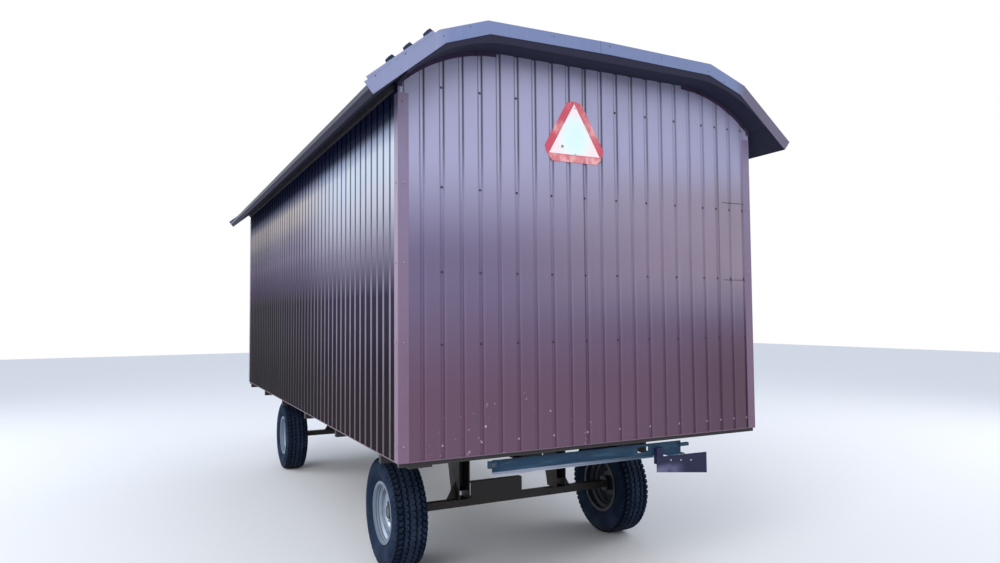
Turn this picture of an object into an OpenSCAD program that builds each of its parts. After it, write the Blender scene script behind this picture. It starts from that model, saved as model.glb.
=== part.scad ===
// Towed hut on two axles, clad in ribbed sheet under a roof of five facets.
// X runs to the right, Y runs forward to the drawbar and Z runs up from the ground.

/* [Body] */
// Width over the side cladding
body_w = 2500; // [2300:10:2700]
// Length over the end cladding
body_l = 5500; // [5200:10:6100]
// Height of the side walls
side_h = 2000; // [1900:10:2150]
// Height of the body's lower edge over the ground
body_z = 920; // [890:5:1050]
// Thickness of a framed and lined wall without its cladding
wall_t = 60; // [40:5:80]
// Thickness of the floor
floor_t = 80; // [60:5:110]

/* [Cladding] */
// Distance from groove to groove
groove_pitch = 115; // [100:1:135]
// Width of the bottom of a groove
groove_w = 18; // [12:1:26]
// Depth of a groove
groove_d = 8; // [5:0.5:12]
// Width of each slanted flank of a groove
groove_flank = 3; // [2:0.5:6]
// Thickness of the folded sheet
sheet_t = 1; // [0.6:0.1:1.6]
// Distance from the left corner to the first groove of an end wall
first_groove = 134; // [80:1:150]

/* [Trims] */
// Width of each leg of a corner trim
trim_w = 60; // [40:5:80]
// Thickness of the trims and flashings
trim_t = 1.5; // [1:0.5:3]
// Distance from the top of a side wall down to the top of a corner trim
trim_short = 55; // [30:5:200]
// Height of the curved strip along a gable
strip_h = 22; // [15:1:35]
// Thickness of the curved strip
strip_t = 10; // [6:1:15]
// Height of the wall plate between a side wall and the roof
plate_t = 15; // [10:1:30]
// Height of the batten under an eave
batten_h = 32; // [25:1:45]
// Thickness of the batten under an eave
batten_t = 18; // [12:1:25]

/* [Roof] */
// Run of a lower slope from the side wall up to its break
low_run = 213; // [180:1:260]
// Run of a middle facet between its two breaks
mid_run = 260; // [220:1:320]
// Angle of the top facets
top_slope = 0.7; // [0.2:0.1:2]
// Angle of the middle facets
mid_slope = 19.5; // [15:0.5:24]
// Angle of the lower slopes
low_slope = 39.5; // [35:0.5:42]
// How far the lower slopes pass the side walls
eave_out = 180; // [120:5:230]
// How far the roof passes the end walls
verge_out = 150; // [100:5:220]
// Thickness of the roof deck
deck_t = 52; // [40:1:70]
// Depth of the roof's bows under the ridge
bow_t = 49; // [35:1:80]
// Run of the rounded shoulder of a gable
arch_run = 600; // [500:5:700]
// Play between the deck and the sheets and flashings that lie on it
roof_gap = 0.3; // [0.2:0.1:1]

/* [Roof sheet] */
// Distance from rib to rib
rib_pitch = 130; // [110:1:160]
// Height of a rib
rib_h = 18; // [12:1:25]
// Width of a rib at its top
rib_top = 24; // [16:1:34]
// Width of each slanted flank of a rib
rib_flank = 11; // [6:1:16]
// Width of the leg of a verge flashing that lies on the roof
verge_leg = 70; // [50:5:110]
// Height of the drip edge along an eave
drip_h = 20; // [10:1:60]

/* [Door] */
// Width of the door leaf
door_w = 800; // [700:10:900]
// Height of the wall over the doorway
over_door = 209; // [150:1:300]
// Depth of the leaf's outer face behind the cladding's outer face
door_inset = 4; // [2:1:8]
// Length of the door handle
handle_l = 130; // [110:5:160]
// Height of the door handle over the floor
handle_z = 1050; // [950:10:1150]
// Gap round the leaf
door_gap = 4; // [3:0.5:6]
// Width of the frame round the leaf
frame_w = 50; // [40:5:70]

/* [Chassis] */
// Height of a chassis rail
rail_h = 100; // [90:5:140]
// Width of a rail's flange
rail_w = 50; // [45:5:70]
// Thickness of the rolled sections
section_t = 6; // [5:0.5:9]
// Distance of a rail's web from the middle
rail_x = 370; // [340:5:420]
// Distance from the rear wall to the first cross member
member_y = 350; // [250:10:600]
// Number of cross members
member_n = 6; // [5:1:8]
// Height of a cross member
member_h = 60; // [45:5:80]
// Width of a cross member
member_w = 40; // [30:5:60]

/* [Running gear] */
// Distance from the rear wall to the rear axle
rear_axle_y = 1160; // [1000:10:1300]
// Distance from the front wall to the front axle
front_axle_y = 700; // [650:10:900]
// Distance between the middle planes of the two wheels of an axle
track = 1756; // [1740:2:1850]
// Thickness of the square axle beam
axle_t = 52; // [46:2:70]
// Diameter of a wheel spindle
spindle_d = 40; // [36:1:44]
// Width of a leg that stands on an axle
leg_w = 85; // [70:1:100]
// Depth of a leg at its foot
leg_d = 130; // [100:5:160]
// Depth of a leg at its top
leg_top_d = 250; // [180:5:280]
// Height of the open window at the foot of a leg
leg_window = 65; // [50:5:120]
// Width of the gusset beside the foot of a leg
gusset_w = 70; // [50:5:100]
// Height of the gusset beside the foot of a leg
gusset_h = 125; // [80:5:160]
// Length of the channel that stands on the rear axle beside the left leg
stand_l = 410; // [300:10:500]
// Height of the channel that stands on the rear axle
stand_h = 110; // [80:5:140]
// Height of the front subframe
subframe_h = 70; // [60:5:90]
// Length of the front subframe
subframe_l = 900; // [800:10:1000]
// Outer radius of the turntable
table_r = 340; // [300:5:360]
// Width of the turntable's rings
table_w = 45; // [35:1:60]
// Thickness of each of the turntable's two rings
table_t = 30; // [20:1:40]

/* [Wheels] */
// Diameter of a tyre
tyre_d = 733; // [700:1:760]
// Width of a tyre at its sidewalls
tyre_w = 235; // [215:1:250]
// Diameter of the rim's flange
rim_d = 414; // [400:1:430]
// Width over the rim's flanges
rim_w = 190; // [170:2:200]
// Height of the rim's flange over the tyre's seat
rim_flange_h = 16; // [14:1:18]
// Depth of the rim's well under the tyre's seat
rim_well_d = 22; // [18:1:25]
// Thickness of the rim
rim_t = 5; // [4:0.5:8]
// Reach of a hub inwards from the middle plane of its wheel
hub_in = 56; // [50:1:70]
// Play between a hub and the end of its axle beam
hub_gap = 5; // [2:1:8]
// Reach of a spindle past the middle plane of its wheel
spindle_end = 40; // [30:1:45]
// Radius of a wheel's hub
hub_r = 56; // [48:1:64]
// Distance of the wheel nuts from the middle of the wheel
stud_r = 80; // [76:1:90]
// Number of wheel nuts
stud_n = 6; // [5:1:8]
// Number of lugs round each shoulder of a tyre
lug_n = 60; // [48:1:66]
// Gap between two lugs
lug_gap = 13; // [9:1:16]
// Depth of the tread
tread_d = 9; // [6:0.5:12]
// Width of a groove round the tyre
tread_groove = 9; // [6:1:12]
// Distance from a tyre's side to the edge of its tread
shoulder_in = 30; // [24:1:36]

/* [Drawbar] */
// Width of the square legs of the drawbar
bar_leg_w = 50; // [40:5:60]
// Reach of the towing eye's centre past the front wall
eye_reach = 1300; // [1100:10:1700]
// Diameter of the hole in the towing eye
eye_d = 40; // [38:0.5:51]
// Outer diameter of the towing eye
eye_outer = 100; // [90:1:130]
// Thickness of the towing eye
eye_t = 30; // [25:1:40]
// Height of the towing eye's middle over the ground
eye_z = 560; // [480:5:620]

/* [Rear fittings] */
// Left end of the rear bar
bar_left = -692; // [-800:1:-600]
// Length of the rear bar
bar_l = 1335; // [1250:1:1400]
// Length of the gap for the tail plate's strap in the rear bar's lower flange
flange_gap_l = 110; // [80:1:150]
// Length of the tab on the rear bar's left end
bar_tab_l = 30; // [20:1:60]
// Height of the tab on the rear bar's left end
bar_tab_h = 38; // [16:1:44]
// Length of the tab on the rear bar's right end
end_tab_l = 50; // [30:1:70]
// Height of the tab on the rear bar's right end
end_tab_h = 20; // [12:1:26]
// Depth of both tabs of the rear bar
bar_tab_d = 20; // [12:1:26]
// Length of the slot cut in the rear bar
slot_l = 85; // [60:1:120]
// Height of the slot cut in the rear bar
slot_h = 34; // [18:1:38]
// Distance from the bar's left end to its slot
slot_x = 995; // [950:1:1050]
// Height of the slot over the bar's lower edge
slot_z = 28; // [10:1:32]
// Distance of the small bracket under the left rear corner from the side wall
corner_tab_in = 60; // [40:5:150]
// Length of the bracket under the left rear corner
corner_tab_l = 130; // [80:5:160]
// Drop of the bracket under the left rear corner
corner_tab_drop = 32; // [28:1:45]
// Height of the flat bar under each end of the floor
end_h = 22; // [15:1:26]
// Height of the rear bar
bar_h = 78; // [74:1:90]
// Depth of the rear bar
bar_d = 45; // [35:1:60]
// Drop of the rear bar's top below the body
bar_drop = 40; // [20:1:55]
// Left edge of the tail plate
plate_left = 424; // [380:1:460]
// Width of the tail plate
plate_w = 402; // [360:1:440]
// Height of the tail plate's right edge
plate_h = 131; // [110:1:150]
// Height of the tail plate's left edge
plate_h_left = 94; // [80:1:120]
// Fall of the tail plate's top from left to right
plate_fall = 4; // [0:1:15]
// Gap between the bar and the top of the tail plate
plate_gap = 1; // [0.5:0.5:20]
// Thickness of the tail plate and its strap
tail_t = 4; // [3:0.5:6]
// Distance from the tail plate's left edge to its strap
strap_in = 5; // [0:1:40]
// Width of the strap that holds the tail plate
strap_w = 50; // [30:1:60]
// Side of the warning triangle's fluorescent centre
triangle_side = 354; // [350:1:365]
// Width of the warning triangle's border
triangle_border = 46; // [45:1:48]
// Side of the small triangle cut off each corner of the border
triangle_cut = 102; // [90:1:110]
// Distance from the top of the gable down to the middle of the warning triangle
triangle_drop = 430; // [360:1:520]
// Distance of the warning triangle from the middle of the wall
triangle_x = -152; // [-300:1:0]

/* [Hidden] */

$fn = 48;

plum = [0.27, 0.15, 0.19];
plum_light = [0.36, 0.22, 0.28];
lilac = [0.42, 0.36, 0.45];
timber = [0.55, 0.42, 0.3];
steel_dark = [0.12, 0.11, 0.11];
steel_blue = [0.2, 0.29, 0.37];
rim_silver = [0.7, 0.71, 0.73];
tyre_black = [0.06, 0.06, 0.07];

// Lengthways positions, with the origin in the middle of the whole length
total_l = verge_out + trim_t + body_l + eye_reach + eye_outer / 2;
rear_y = -total_l / 2 + verge_out + trim_t;
front_y = rear_y + body_l;
axle_y_rear = rear_y + rear_axle_y;
axle_y_front = front_y - front_axle_y;
eye_y = front_y + eye_reach;

trim_h = side_h - trim_short;
clad_d = groove_d + sheet_t;
half_w = body_w / 2;
core_half = half_w - clad_d;
core_rear = rear_y + clad_d;
core_front = front_y - clad_d;
core_l = core_front - core_rear;
room_z = body_z + floor_t;

// Corners of the roof's underside on the right, from the ridge to the eave
under_side = [half_w, side_h + plate_t];
under_break = [half_w - low_run, under_side[1] + low_run * tan(low_slope)];
under_top = [under_break[0] - mid_run, under_break[1] + mid_run * tan(mid_slope)];
under_ridge = [0, under_top[1] + under_top[0] * tan(top_slope)];
under_eave = [half_w + eave_out, under_side[1] - eave_out * tan(low_slope)];
verge_t = deck_t + roof_gap + sheet_t + rib_h + roof_gap;

// Top edge of an end wall: straight in the middle, round down to the side walls
gable_h = under_ridge[1] - bow_t;
arch_flat_half = half_w - arch_run;
arch_fall = gable_h - side_h;
arch_r = (arch_run * arch_run + arch_fall * arch_fall) / (2 * arch_fall);

door_h = gable_h - over_door - frame_w - door_gap - floor_t;
triangle_z = gable_h - triangle_drop;

wheel_r = tyre_d / 2;
wheel_z = wheel_r;
wheel_x = track / 2;
bore_gap = 0.05;
leg_x = rail_x + rail_w / 2;
rail_bottom = body_z - rail_h;
subframe_top = rail_bottom - 2 * table_t;
subframe_z = subframe_top - subframe_h;

// Moves a corner of the underside outwards by t, between facets of slopes a and b
function lift(p, a, b, t) = p + t / cos((b - a) / 2) * [sin((a + b) / 2), cos((a + b) / 2)];

// The five corners of the right half of a line that lies t above the underside
function half_line(t) = [
    lift(under_ridge, -top_slope, top_slope, t),
    lift(under_top, top_slope, mid_slope, t),
    lift(under_break, mid_slope, low_slope, t),
    lift(under_eave, low_slope, low_slope, t)];

function mirrored(pts) = [for (i = [len(pts) - 1:-1:0]) [-pts[i][0], pts[i][1]]];
function backwards(pts) = [for (i = [len(pts) - 1:-1:0]) pts[i]];
function full_line(t) = let (h = half_line(t)) concat(mirrored(h), [for (i = [1:len(h) - 1]) h[i]]);

// Right half of the space between the side walls' tops and the roof, from the wall up
over_walls = [[half_w, side_h], under_side, under_break, under_top];

// A band of the roof between two heights over its underside
module roof_band(t0, t1) {
    polygon(concat(full_line(t0), backwards(full_line(t1))));
}

// Extrudes an outline drawn in X and Z from y0 to y1, over the body's lower edge
module along_y(y0, y1) {
    translate([0, y1, body_z])
        rotate([90, 0, 0])
            linear_extrude(y1 - y0)
                children();
}

// Outline of an end wall with its rounded shoulders, for a wall of the given half width
module gable_2d(half = half_w, bottom = 0) {
    translate([-arch_flat_half, bottom])
        square([2 * arch_flat_half, gable_h - bottom]);
    translate([-half, bottom])
        square([2 * half, side_h - bottom]);
    intersection() {
        translate([-half, side_h - 1])
            square([2 * half, gable_h - side_h + 1]);
        union() {
            for (side = [-1, 1])
                translate([side * arch_flat_half, gable_h - arch_r])
                    circle(arch_r, $fn = 96);
        }
    }
}

// Points of one groove of the cladding, centred on c
function groove(c, drop) = [
    [c - groove_w / 2 - groove_flank, drop],
    [c - groove_w / 2, drop + groove_d],
    [c + groove_w / 2, drop + groove_d],
    [c + groove_w / 2 + groove_flank, drop]];

// All grooves that fit a sheet of the given length, the first one centred on first
function grooves(length, first, drop) =
    [for (c = [first:groove_pitch:length - groove_w]) each groove(c, drop)];

// Section of a folded sheet of the given length with its grooves sunk along +Y
module clad_section(length, first) {
    outer = concat([[0, 0]], grooves(length, first, 0), [[length, 0]]);
    inner = concat([[0, sheet_t]], grooves(length, first, sheet_t), [[length, sheet_t]]);
    polygon(concat(outer, backwards(inner)));
}

module end_sheet() {
    intersection() {
        translate([-half_w, rear_y, body_z])
            linear_extrude(gable_h)
                clad_section(body_w, first_groove);
        along_y(rear_y - 1, rear_y + clad_d + 1)
            gable_2d();
    }
}

module side_sheet() {
    translate([-half_w, rear_y + clad_d, body_z])
        linear_extrude(side_h)
            mirror([1, -1])
                clad_section(core_l, first_groove - clad_d);
}

module to_front() {
    translate([0, rear_y + front_y, 0])
        mirror([0, 1, 0])
            children();
}

module to_right() {
    mirror([1, 0, 0])
        children();
}

module both_sides() {
    for (side = [0, 1])
        mirror([side, 0, 0])
            children();
}

// Walls and floor

module floor() {
    color(timber)
        translate([-core_half, core_rear, body_z])
            cube([2 * core_half, core_l, floor_t]);
}

module rear_wall() {
    color(timber)
        along_y(core_rear, core_rear + wall_t)
            gable_2d(core_half, floor_t);
}

module front_wall() {
    color(timber)
        along_y(core_front - wall_t, core_front)
            difference() {
                gable_2d(core_half, floor_t);
                translate([-door_w / 2 - door_gap - frame_w, floor_t - 1])
                    square([door_w + 2 * door_gap + 2 * frame_w, door_h + door_gap + frame_w + 1]);
            }
}

module left_wall() {
    color(timber)
        translate([-core_half, core_rear + wall_t, room_z])
            cube([wall_t, core_l - 2 * wall_t, side_h - floor_t]);
}

module right_wall() {
    to_right() left_wall();
}

module rear_cladding() {
    color(plum)
        end_sheet();
}

module front_cladding() {
    color(plum)
        difference() {
            to_front() end_sheet();
            translate([-door_w / 2 - door_gap - frame_w, front_y - clad_d - 1, room_z - 1])
                cube([door_w + 2 * door_gap + 2 * frame_w, clad_d + 2, door_h + door_gap + frame_w + 1]);
        }
}

module left_cladding() {
    color(plum)
        side_sheet();
}

module right_cladding() {
    color(plum)
        to_right() side_sheet();
}

// Trims

module corner_trims_rear() {
    color(plum_light)
        both_sides()
            translate([-half_w - trim_t, rear_y - trim_t, body_z])
                difference() {
                    cube([trim_w, trim_w, trim_h]);
                    translate([trim_t, trim_t, -1])
                        cube([trim_w, trim_w, trim_h + 2]);
                }
}

module corner_trims_front() {
    to_front() corner_trims_rear();
}

module gable_strip_rear() {
    color(plum_light)
        along_y(rear_y - strip_t, rear_y)
            difference() {
                gable_2d();
                translate([0, -strip_h])
                    gable_2d(half_w - strip_h);
                translate([-arch_flat_half - strip_h, 0])
                    square([2 * (arch_flat_half + strip_h), gable_h + 1]);
                translate([-half_w - 1, 0])
                    square([body_w + 2, side_h - strip_h]);
            }
}

module gable_strip_front() {
    to_front() gable_strip_rear();
}

module eave_batten_left() {
    color(timber)
        translate([-half_w - batten_t, rear_y + trim_w, body_z + side_h - batten_h])
            cube([batten_t, body_l - 2 * trim_w, batten_h]);
}

module eave_batten_right() {
    to_right() eave_batten_left();
}

// Roof

module roof_deck() {
    color(timber)
        along_y(rear_y - verge_out, front_y + verge_out)
            difference() {
                union() {
                    roof_band(0, deck_t);
                    polygon(concat(over_walls, [under_ridge], mirrored(over_walls)));
                }
                gable_2d();
            }
}

// Points of the ribs on one facet from p to q, at height h over the facet
function facet_ribs(p, q, h) =
    let (d = q - p, l = norm(d), u = d / l, v = [-u[1], u[0]],
        n = max(1, floor(l / rib_pitch)), start = (l - (n - 1) * rib_pitch) / 2)
    [for (i = [0:n - 1], k = [0:3])
        let (off = [-rib_top / 2 - rib_flank, -rib_top / 2, rib_top / 2, rib_top / 2 + rib_flank][k],
            up = (k == 1 || k == 2) ? rib_h : 0)
        p + (start + i * rib_pitch + off) * u + (h + up) * v];

// The ribbed sheet's line at height h over the deck
function sheet_line(h) =
    let (base = full_line(deck_t), lifted = full_line(deck_t + h))
    concat([for (i = [0:len(base) - 2])
        each concat([lifted[i]], facet_ribs(base[i], base[i + 1], h))], [lifted[len(base) - 1]]);

module roof_sheet() {
    color(plum_light)
        along_y(rear_y - verge_out, front_y + verge_out)
            polygon(concat(sheet_line(roof_gap), backwards(sheet_line(roof_gap + sheet_t))));
}

// Everything on one side of the break of a lower slope, mirrored for side = -1
module lower_slope_side(side) {
    far = body_w;
    edge = half_line(0)[2];
    lifted = half_line(2 * verge_t)[2];
    mirror([side < 0 ? 1 : 0, 0])
        polygon([edge - 2 * (lifted - edge), lifted, [far, lifted[1]], [far, -verge_t]]);
}

module verge_face(t) {
    along_y(rear_y - verge_out - trim_t, rear_y - verge_out - roof_gap)
        roof_band(0, t);
}

module verge_leg_over(t) {
    along_y(rear_y - verge_out - trim_t, rear_y - verge_out + verge_leg)
        roof_band(t, t + trim_t);
}

// The rear flashing has no leg on the left lower slope, where it ends in front of the ribs
module verge_rear() {
    color(lilac) {
        verge_face(verge_t + trim_t);
        difference() {
            verge_leg_over(verge_t);
            along_y(rear_y - verge_out - trim_t - 1, rear_y - verge_out + verge_leg + 1)
                lower_slope_side(-1);
        }
    }
}

module verge_front() {
    color(lilac)
        to_front() {
            verge_face(verge_t + trim_t);
            verge_leg_over(verge_t);
        }
}

module eave_right() {
    eave = half_line(0)[3];
    color(lilac)
        along_y(rear_y - verge_out, front_y + verge_out)
            translate(eave)
                rotate(-low_slope)
                    translate([roof_gap, deck_t - drip_h])
                        square([trim_t, drip_h]);
}

module eave_left() {
    to_right() eave_right();
}

// Door

// The leaf's outer face has the grooves of the cladding
module door_leaf() {
    depth = wall_t + clad_d - door_inset;
    color(plum)
        translate([door_w / 2, core_front - wall_t + depth, room_z])
            rotate(180)
                linear_extrude(door_h)
                    polygon(concat([[0, 0]], grooves(door_w, groove_pitch / 2, 0),
                        [[door_w, 0], [door_w, depth], [0, depth]]));
}

// A lever on a long plate, the same on both faces of the leaf
module door_handle() {
    depth = wall_t + clad_d - door_inset;
    lever_d = 18;
    rose_w = 40;
    rose_h = 220;
    rose_t = 6;
    neck_l = 40;
    edge_gap = 60;
    sunk = 1;
    lever_z = rose_h / 5;
    color(steel_dark)
        for (face = [[core_front - wall_t, 1], [core_front - wall_t + depth, 0]])
            translate([door_w / 2 - edge_gap, face[0], room_z + handle_z])
                mirror([0, face[1], 0]) {
                    translate([-rose_w / 2, 0, -rose_h / 2])
                        cube([rose_w, rose_t, rose_h]);
                    translate([0, rose_t - sunk, lever_z])
                        rotate([-90, 0, 0])
                            cylinder(h = neck_l, d = lever_d);
                    translate([-handle_l, rose_t - sunk + neck_l - lever_d / 2, lever_z - lever_d / 2])
                        cube([handle_l + lever_d / 2, lever_d / 2, lever_d]);
                }
}

module door_frame() {
    color(plum_light)
        translate([0, core_front - wall_t, room_z])
            difference() {
                translate([-door_w / 2 - door_gap - frame_w, 0, 0])
                    cube([door_w + 2 * door_gap + 2 * frame_w, wall_t + clad_d + trim_t,
                        door_h + door_gap + frame_w]);
                translate([-door_w / 2 - door_gap, -1, -1])
                    cube([door_w + 2 * door_gap, wall_t + clad_d + trim_t + 2, door_h + door_gap + 1]);
            }
}

// Chassis

// A channel with its web at x = 0 and its flanges towards +X, extruded along Y
module channel(h, w, t, y0, y1) {
    translate([0, y1, 0])
        rotate([90, 0, 0])
            linear_extrude(y1 - y0)
                difference() {
                    square([w, h]);
                    translate([t, t])
                        square([w, h - 2 * t]);
                }
}

module chassis_rails() {
    color(steel_dark)
        both_sides()
            translate([rail_x, 0, body_z - rail_h])
                channel(rail_h, rail_w, section_t, rear_y + bar_d, front_y - bar_d);
}

module cross_members() {
    first = rear_y + member_y;
    last = front_y - bar_d - member_w;
    step = (last - first) / (member_n - 1);
    color(steel_dark) {
        for (y = [first:step:last + 1])
            translate([0, y, body_z - member_h]) {
                translate([-rail_x, 0, 0])
                    cube([2 * rail_x, member_w, member_h]);
                both_sides()
                    translate([rail_x + rail_w, 0, 0])
                        cube([core_half - clad_d - rail_x - rail_w, member_w, member_h]);
            }
        for (y = [table_w - table_r, table_r - 2 * table_w])
            translate([-rail_x, axle_y_front + y, rail_bottom])
                cube([2 * rail_x, table_w, rail_h - member_h]);
        end_member();
        to_front() end_member();
        corner_tab();
    }
}

// The flat bar under an end of the floor
module end_member() {
    translate([-core_half, core_rear, body_z - end_h])
        cube([2 * core_half, bar_d - clad_d, end_h]);
}

// A small cranked bracket under the left rear corner, behind the flat bar
module corner_tab() {
    lip_t = section_t + 4;
    translate([corner_tab_in - half_w, rear_y + bar_d - section_t, body_z - corner_tab_drop]) {
        cube([corner_tab_l, section_t, corner_tab_drop]);
        translate([0, 2 * section_t - bar_d, 0])
            cube([corner_tab_l, bar_d - section_t, lip_t]);
    }
}

// An upright web on a flange with a gap, a small tab on each end and a slot right of the middle
module rear_bar() {
    web_y = bar_d - section_t;
    tab_y = web_y - bar_tab_d;
    tab_drop = 2;
    end_tab_drop = 13;
    gap_x = plate_left + strap_in + strap_w / 2 - flange_gap_l / 2 - bar_left;
    color(steel_blue)
        translate([bar_left, rear_y, body_z - bar_drop - bar_h])
            difference() {
                union() {
                    translate([0, web_y, 0])
                        cube([bar_l, section_t, bar_h]);
                    cube([bar_l, bar_d, section_t]);
                    translate([-bar_tab_l, tab_y, bar_h - bar_tab_h - tab_drop])
                        cube([bar_tab_l + bar_tab_d, bar_tab_d + 1, bar_tab_h]);
                    translate([bar_l - bar_tab_d, tab_y, bar_h - end_tab_h - end_tab_drop])
                        cube([end_tab_l + bar_tab_d, bar_tab_d + 1, end_tab_h]);
                }
                translate([slot_x, -1, slot_z])
                    cube([slot_l, bar_d + 2, slot_h]);
                translate([gap_x, -1, -1])
                    cube([flange_gap_l, web_y + 1, section_t + 2]);
            }
}

// The plate hangs under the bar on a strap that runs up through the gap in the bar's flange
module tail_plate() {
    top_z = body_z - bar_drop - bar_h - plate_gap;
    strap_z = top_z - plate_h_left / 2;
    strap_top = body_z - bar_drop - bar_h / 3;
    color(plum)
        translate([plate_left, rear_y + tail_t, 0]) {
            translate([0, tail_t, top_z])
                rotate([90, 0, 0])
                    linear_extrude(tail_t)
                        polygon([[0, 0], [plate_w, -plate_fall], [plate_w, -plate_fall - plate_h],
                            [0, -plate_h_left]]);
            translate([strap_in, tail_t, strap_z])
                cube([strap_w, bar_d - 2 * tail_t - section_t, strap_top - strap_z]);
        }
}

// Running gear

module axle(y) {
    shoulder = wheel_x - hub_in - hub_gap;
    color(steel_dark)
        translate([0, y, wheel_z]) {
            translate([-shoulder, -axle_t / 2, -axle_t / 2])
                cube([2 * shoulder, axle_t, axle_t]);
            rotate([0, 90, 0])
                translate([0, 0, -wheel_x - spindle_end])
                    cylinder(h = 2 * (wheel_x + spindle_end), d = spindle_d);
        }
}

module rear_axle() {
    axle(axle_y_rear);
    color(steel_dark)
        translate([-rail_x + leg_w / 2, axle_y_rear, wheel_z + axle_t / 2])
            difference() {
                translate([0, -axle_t / 2, 0])
                    cube([stand_l, axle_t, stand_h]);
                translate([-1, section_t - axle_t / 2, section_t])
                    cube([stand_l + 2, axle_t, stand_h - 2 * section_t]);
            }
}

module front_axle() {
    axle(axle_y_front);
}

// A leg that widens towards its top: two side plates, a web, a foot, a shelf over its window and a
// gusset, standing on the axle under the right rail up to the height top
module leg(y, top) {
    foot = wheel_z + axle_t / 2;
    h = top - foot;
    translate([leg_x - leg_w / 2, y - leg_d / 2, foot]) {
        for (x = [0, leg_w - section_t])
            translate([x, 0, 0])
                rotate([90, 0, 90])
                    linear_extrude(section_t)
                        polygon([[0, 0], [leg_d, 0], [leg_top_d, h], [0, h]]);
        translate([0, leg_d - section_t, leg_window])
            cube([leg_w, section_t, h - leg_window]);
        translate([0, leg_d / 4, leg_window - section_t])
            cube([leg_w, leg_d * 3 / 4, section_t]);
        cube([leg_w, leg_d, section_t]);
        translate([0, 0, h - section_t])
            cube([leg_w, leg_top_d, section_t]);
        translate([leg_w, leg_d / 2 - section_t / 2, 0])
            rotate([90, 0, 0])
                mirror([0, 0, 1])
                    linear_extrude(section_t)
                        polygon([[0, 0], [gusset_w, 0], [0, gusset_h]]);
    }
}

module rear_legs() {
    color(steel_dark)
        both_sides() leg(axle_y_rear, rail_bottom);
}

module front_legs() {
    color(steel_dark)
        both_sides() leg(axle_y_front, subframe_z);
}

module front_subframe() {
    near = table_w - table_r;
    color(steel_dark)
        translate([0, axle_y_front, subframe_z]) {
            both_sides()
                translate([rail_x, -subframe_l / 2, 0])
                    cube([rail_w, subframe_l, subframe_h]);
            for (y = [-subframe_l / 2, near, -near - table_w, subframe_l / 2 - table_w])
                translate([-rail_x, y, 0])
                    cube([2 * rail_x, table_w, subframe_h]);
        }
}

// Two rings that slide on each other, the upper one under the turntable beams
module turntable() {
    joint_h = 3;
    joint_d = 6;
    color(steel_dark)
        translate([0, axle_y_front, subframe_top])
            rotate_extrude($fn = 96)
                difference() {
                    translate([table_r - table_w, 0])
                        square([table_w, 2 * table_t]);
                    translate([table_r - joint_d, table_t - joint_h / 2])
                        square([joint_d + 1, joint_h]);
                }
}

// Two legs from the front subframe that meet in the towing eye
module drawbar() {
    root = [rail_x + rail_w / 2, axle_y_front + subframe_l / 2, subframe_z + subframe_h / 2];
    run = eye_y - root[1];
    length = norm([root[0], run]);
    angle = atan2(root[0], run);
    tilt = atan2(root[2] - eye_z, length);
    color(steel_dark)
        difference() {
            union() {
                both_sides()
                    translate(root)
                        rotate([0, 0, angle])
                            rotate([-tilt, 0, 0])
                                translate([-bar_leg_w / 2, -bar_leg_w, -bar_leg_w / 2])
                                    cube([bar_leg_w, length / cos(tilt) + bar_leg_w / 2, bar_leg_w]);
                translate([0, eye_y, eye_z - eye_t / 2])
                    cylinder(h = eye_t, d = eye_outer);
            }
            translate([-body_w / 2, root[1] - 2 * bar_leg_w, 0])
                cube([body_w, 2 * bar_leg_w, body_z]);
            translate([0, eye_y, eye_z - bar_leg_w])
                cylinder(h = 2 * bar_leg_w, d = eye_d);
            for (z = [eye_z + eye_t / 2, eye_z - eye_t / 2 - bar_leg_w])
                translate([0, eye_y, z])
                    cylinder(h = bar_leg_w, d = eye_outer + bar_leg_w / 2);
        }
}

// Wheels

rim_flange = rim_d / 2;
rim_seat = rim_flange - rim_flange_h;
rim_well = rim_seat - rim_well_d;
rim_half = rim_w / 2;
seat_w = 40;
well_ramp = 12;
bead_x = rim_half - rim_t - 2;
tyre_wall = 12;
seat_gap = 0.3;
wall_steps = 10;
wall_turn = 165;
crown = tyre_w / 2 - shoulder_in;
under_tread = wheel_r - 2 * tread_d;
lug_x = crown * 0.8;

// Points of one bulging sidewall from the rim's flange to the shoulder: axial distance and radius
function tyre_side(inset) = [for (i = [0:wall_steps])
    let (t = i / wall_steps, foot = rim_flange + 1)
    [bead_x - seat_gap + (tyre_w / 2 - bead_x) * sin(wall_turn * t) - inset,
        foot + (under_tread - foot) * t]];

function tread_groove_at(x) = [
    [x + tread_groove / 2, wheel_r],
    [x + tread_groove / 2 - 2, wheel_r - tread_d],
    [x - tread_groove / 2 + 2, wheel_r - tread_d],
    [x - tread_groove / 2, wheel_r]];

// Section of a tyre, drawn with its radius along X, with four grooves round the tread
module tyre_2d() {
    band = 6;
    outer = concat([[bead_x - seat_gap, rim_seat + seat_gap]], tyre_side(0), [[crown, wheel_r - 3]],
        tread_groove_at(crown * 0.62), tread_groove_at(crown * 0.2));
    inner = concat([[bead_x - tyre_wall, rim_seat + seat_gap]],
        [for (p = tyre_side(tyre_wall)) [p[0], min(p[1], under_tread - band)]]);
    left_outer = [for (p = outer) [-p[0], p[1]]];
    left_inner = [for (p = inner) [-p[0], p[1]]];
    polygon([for (p = concat(outer, backwards(left_outer), left_inner, backwards(inner))) [p[1], p[0]]]);
}

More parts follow.
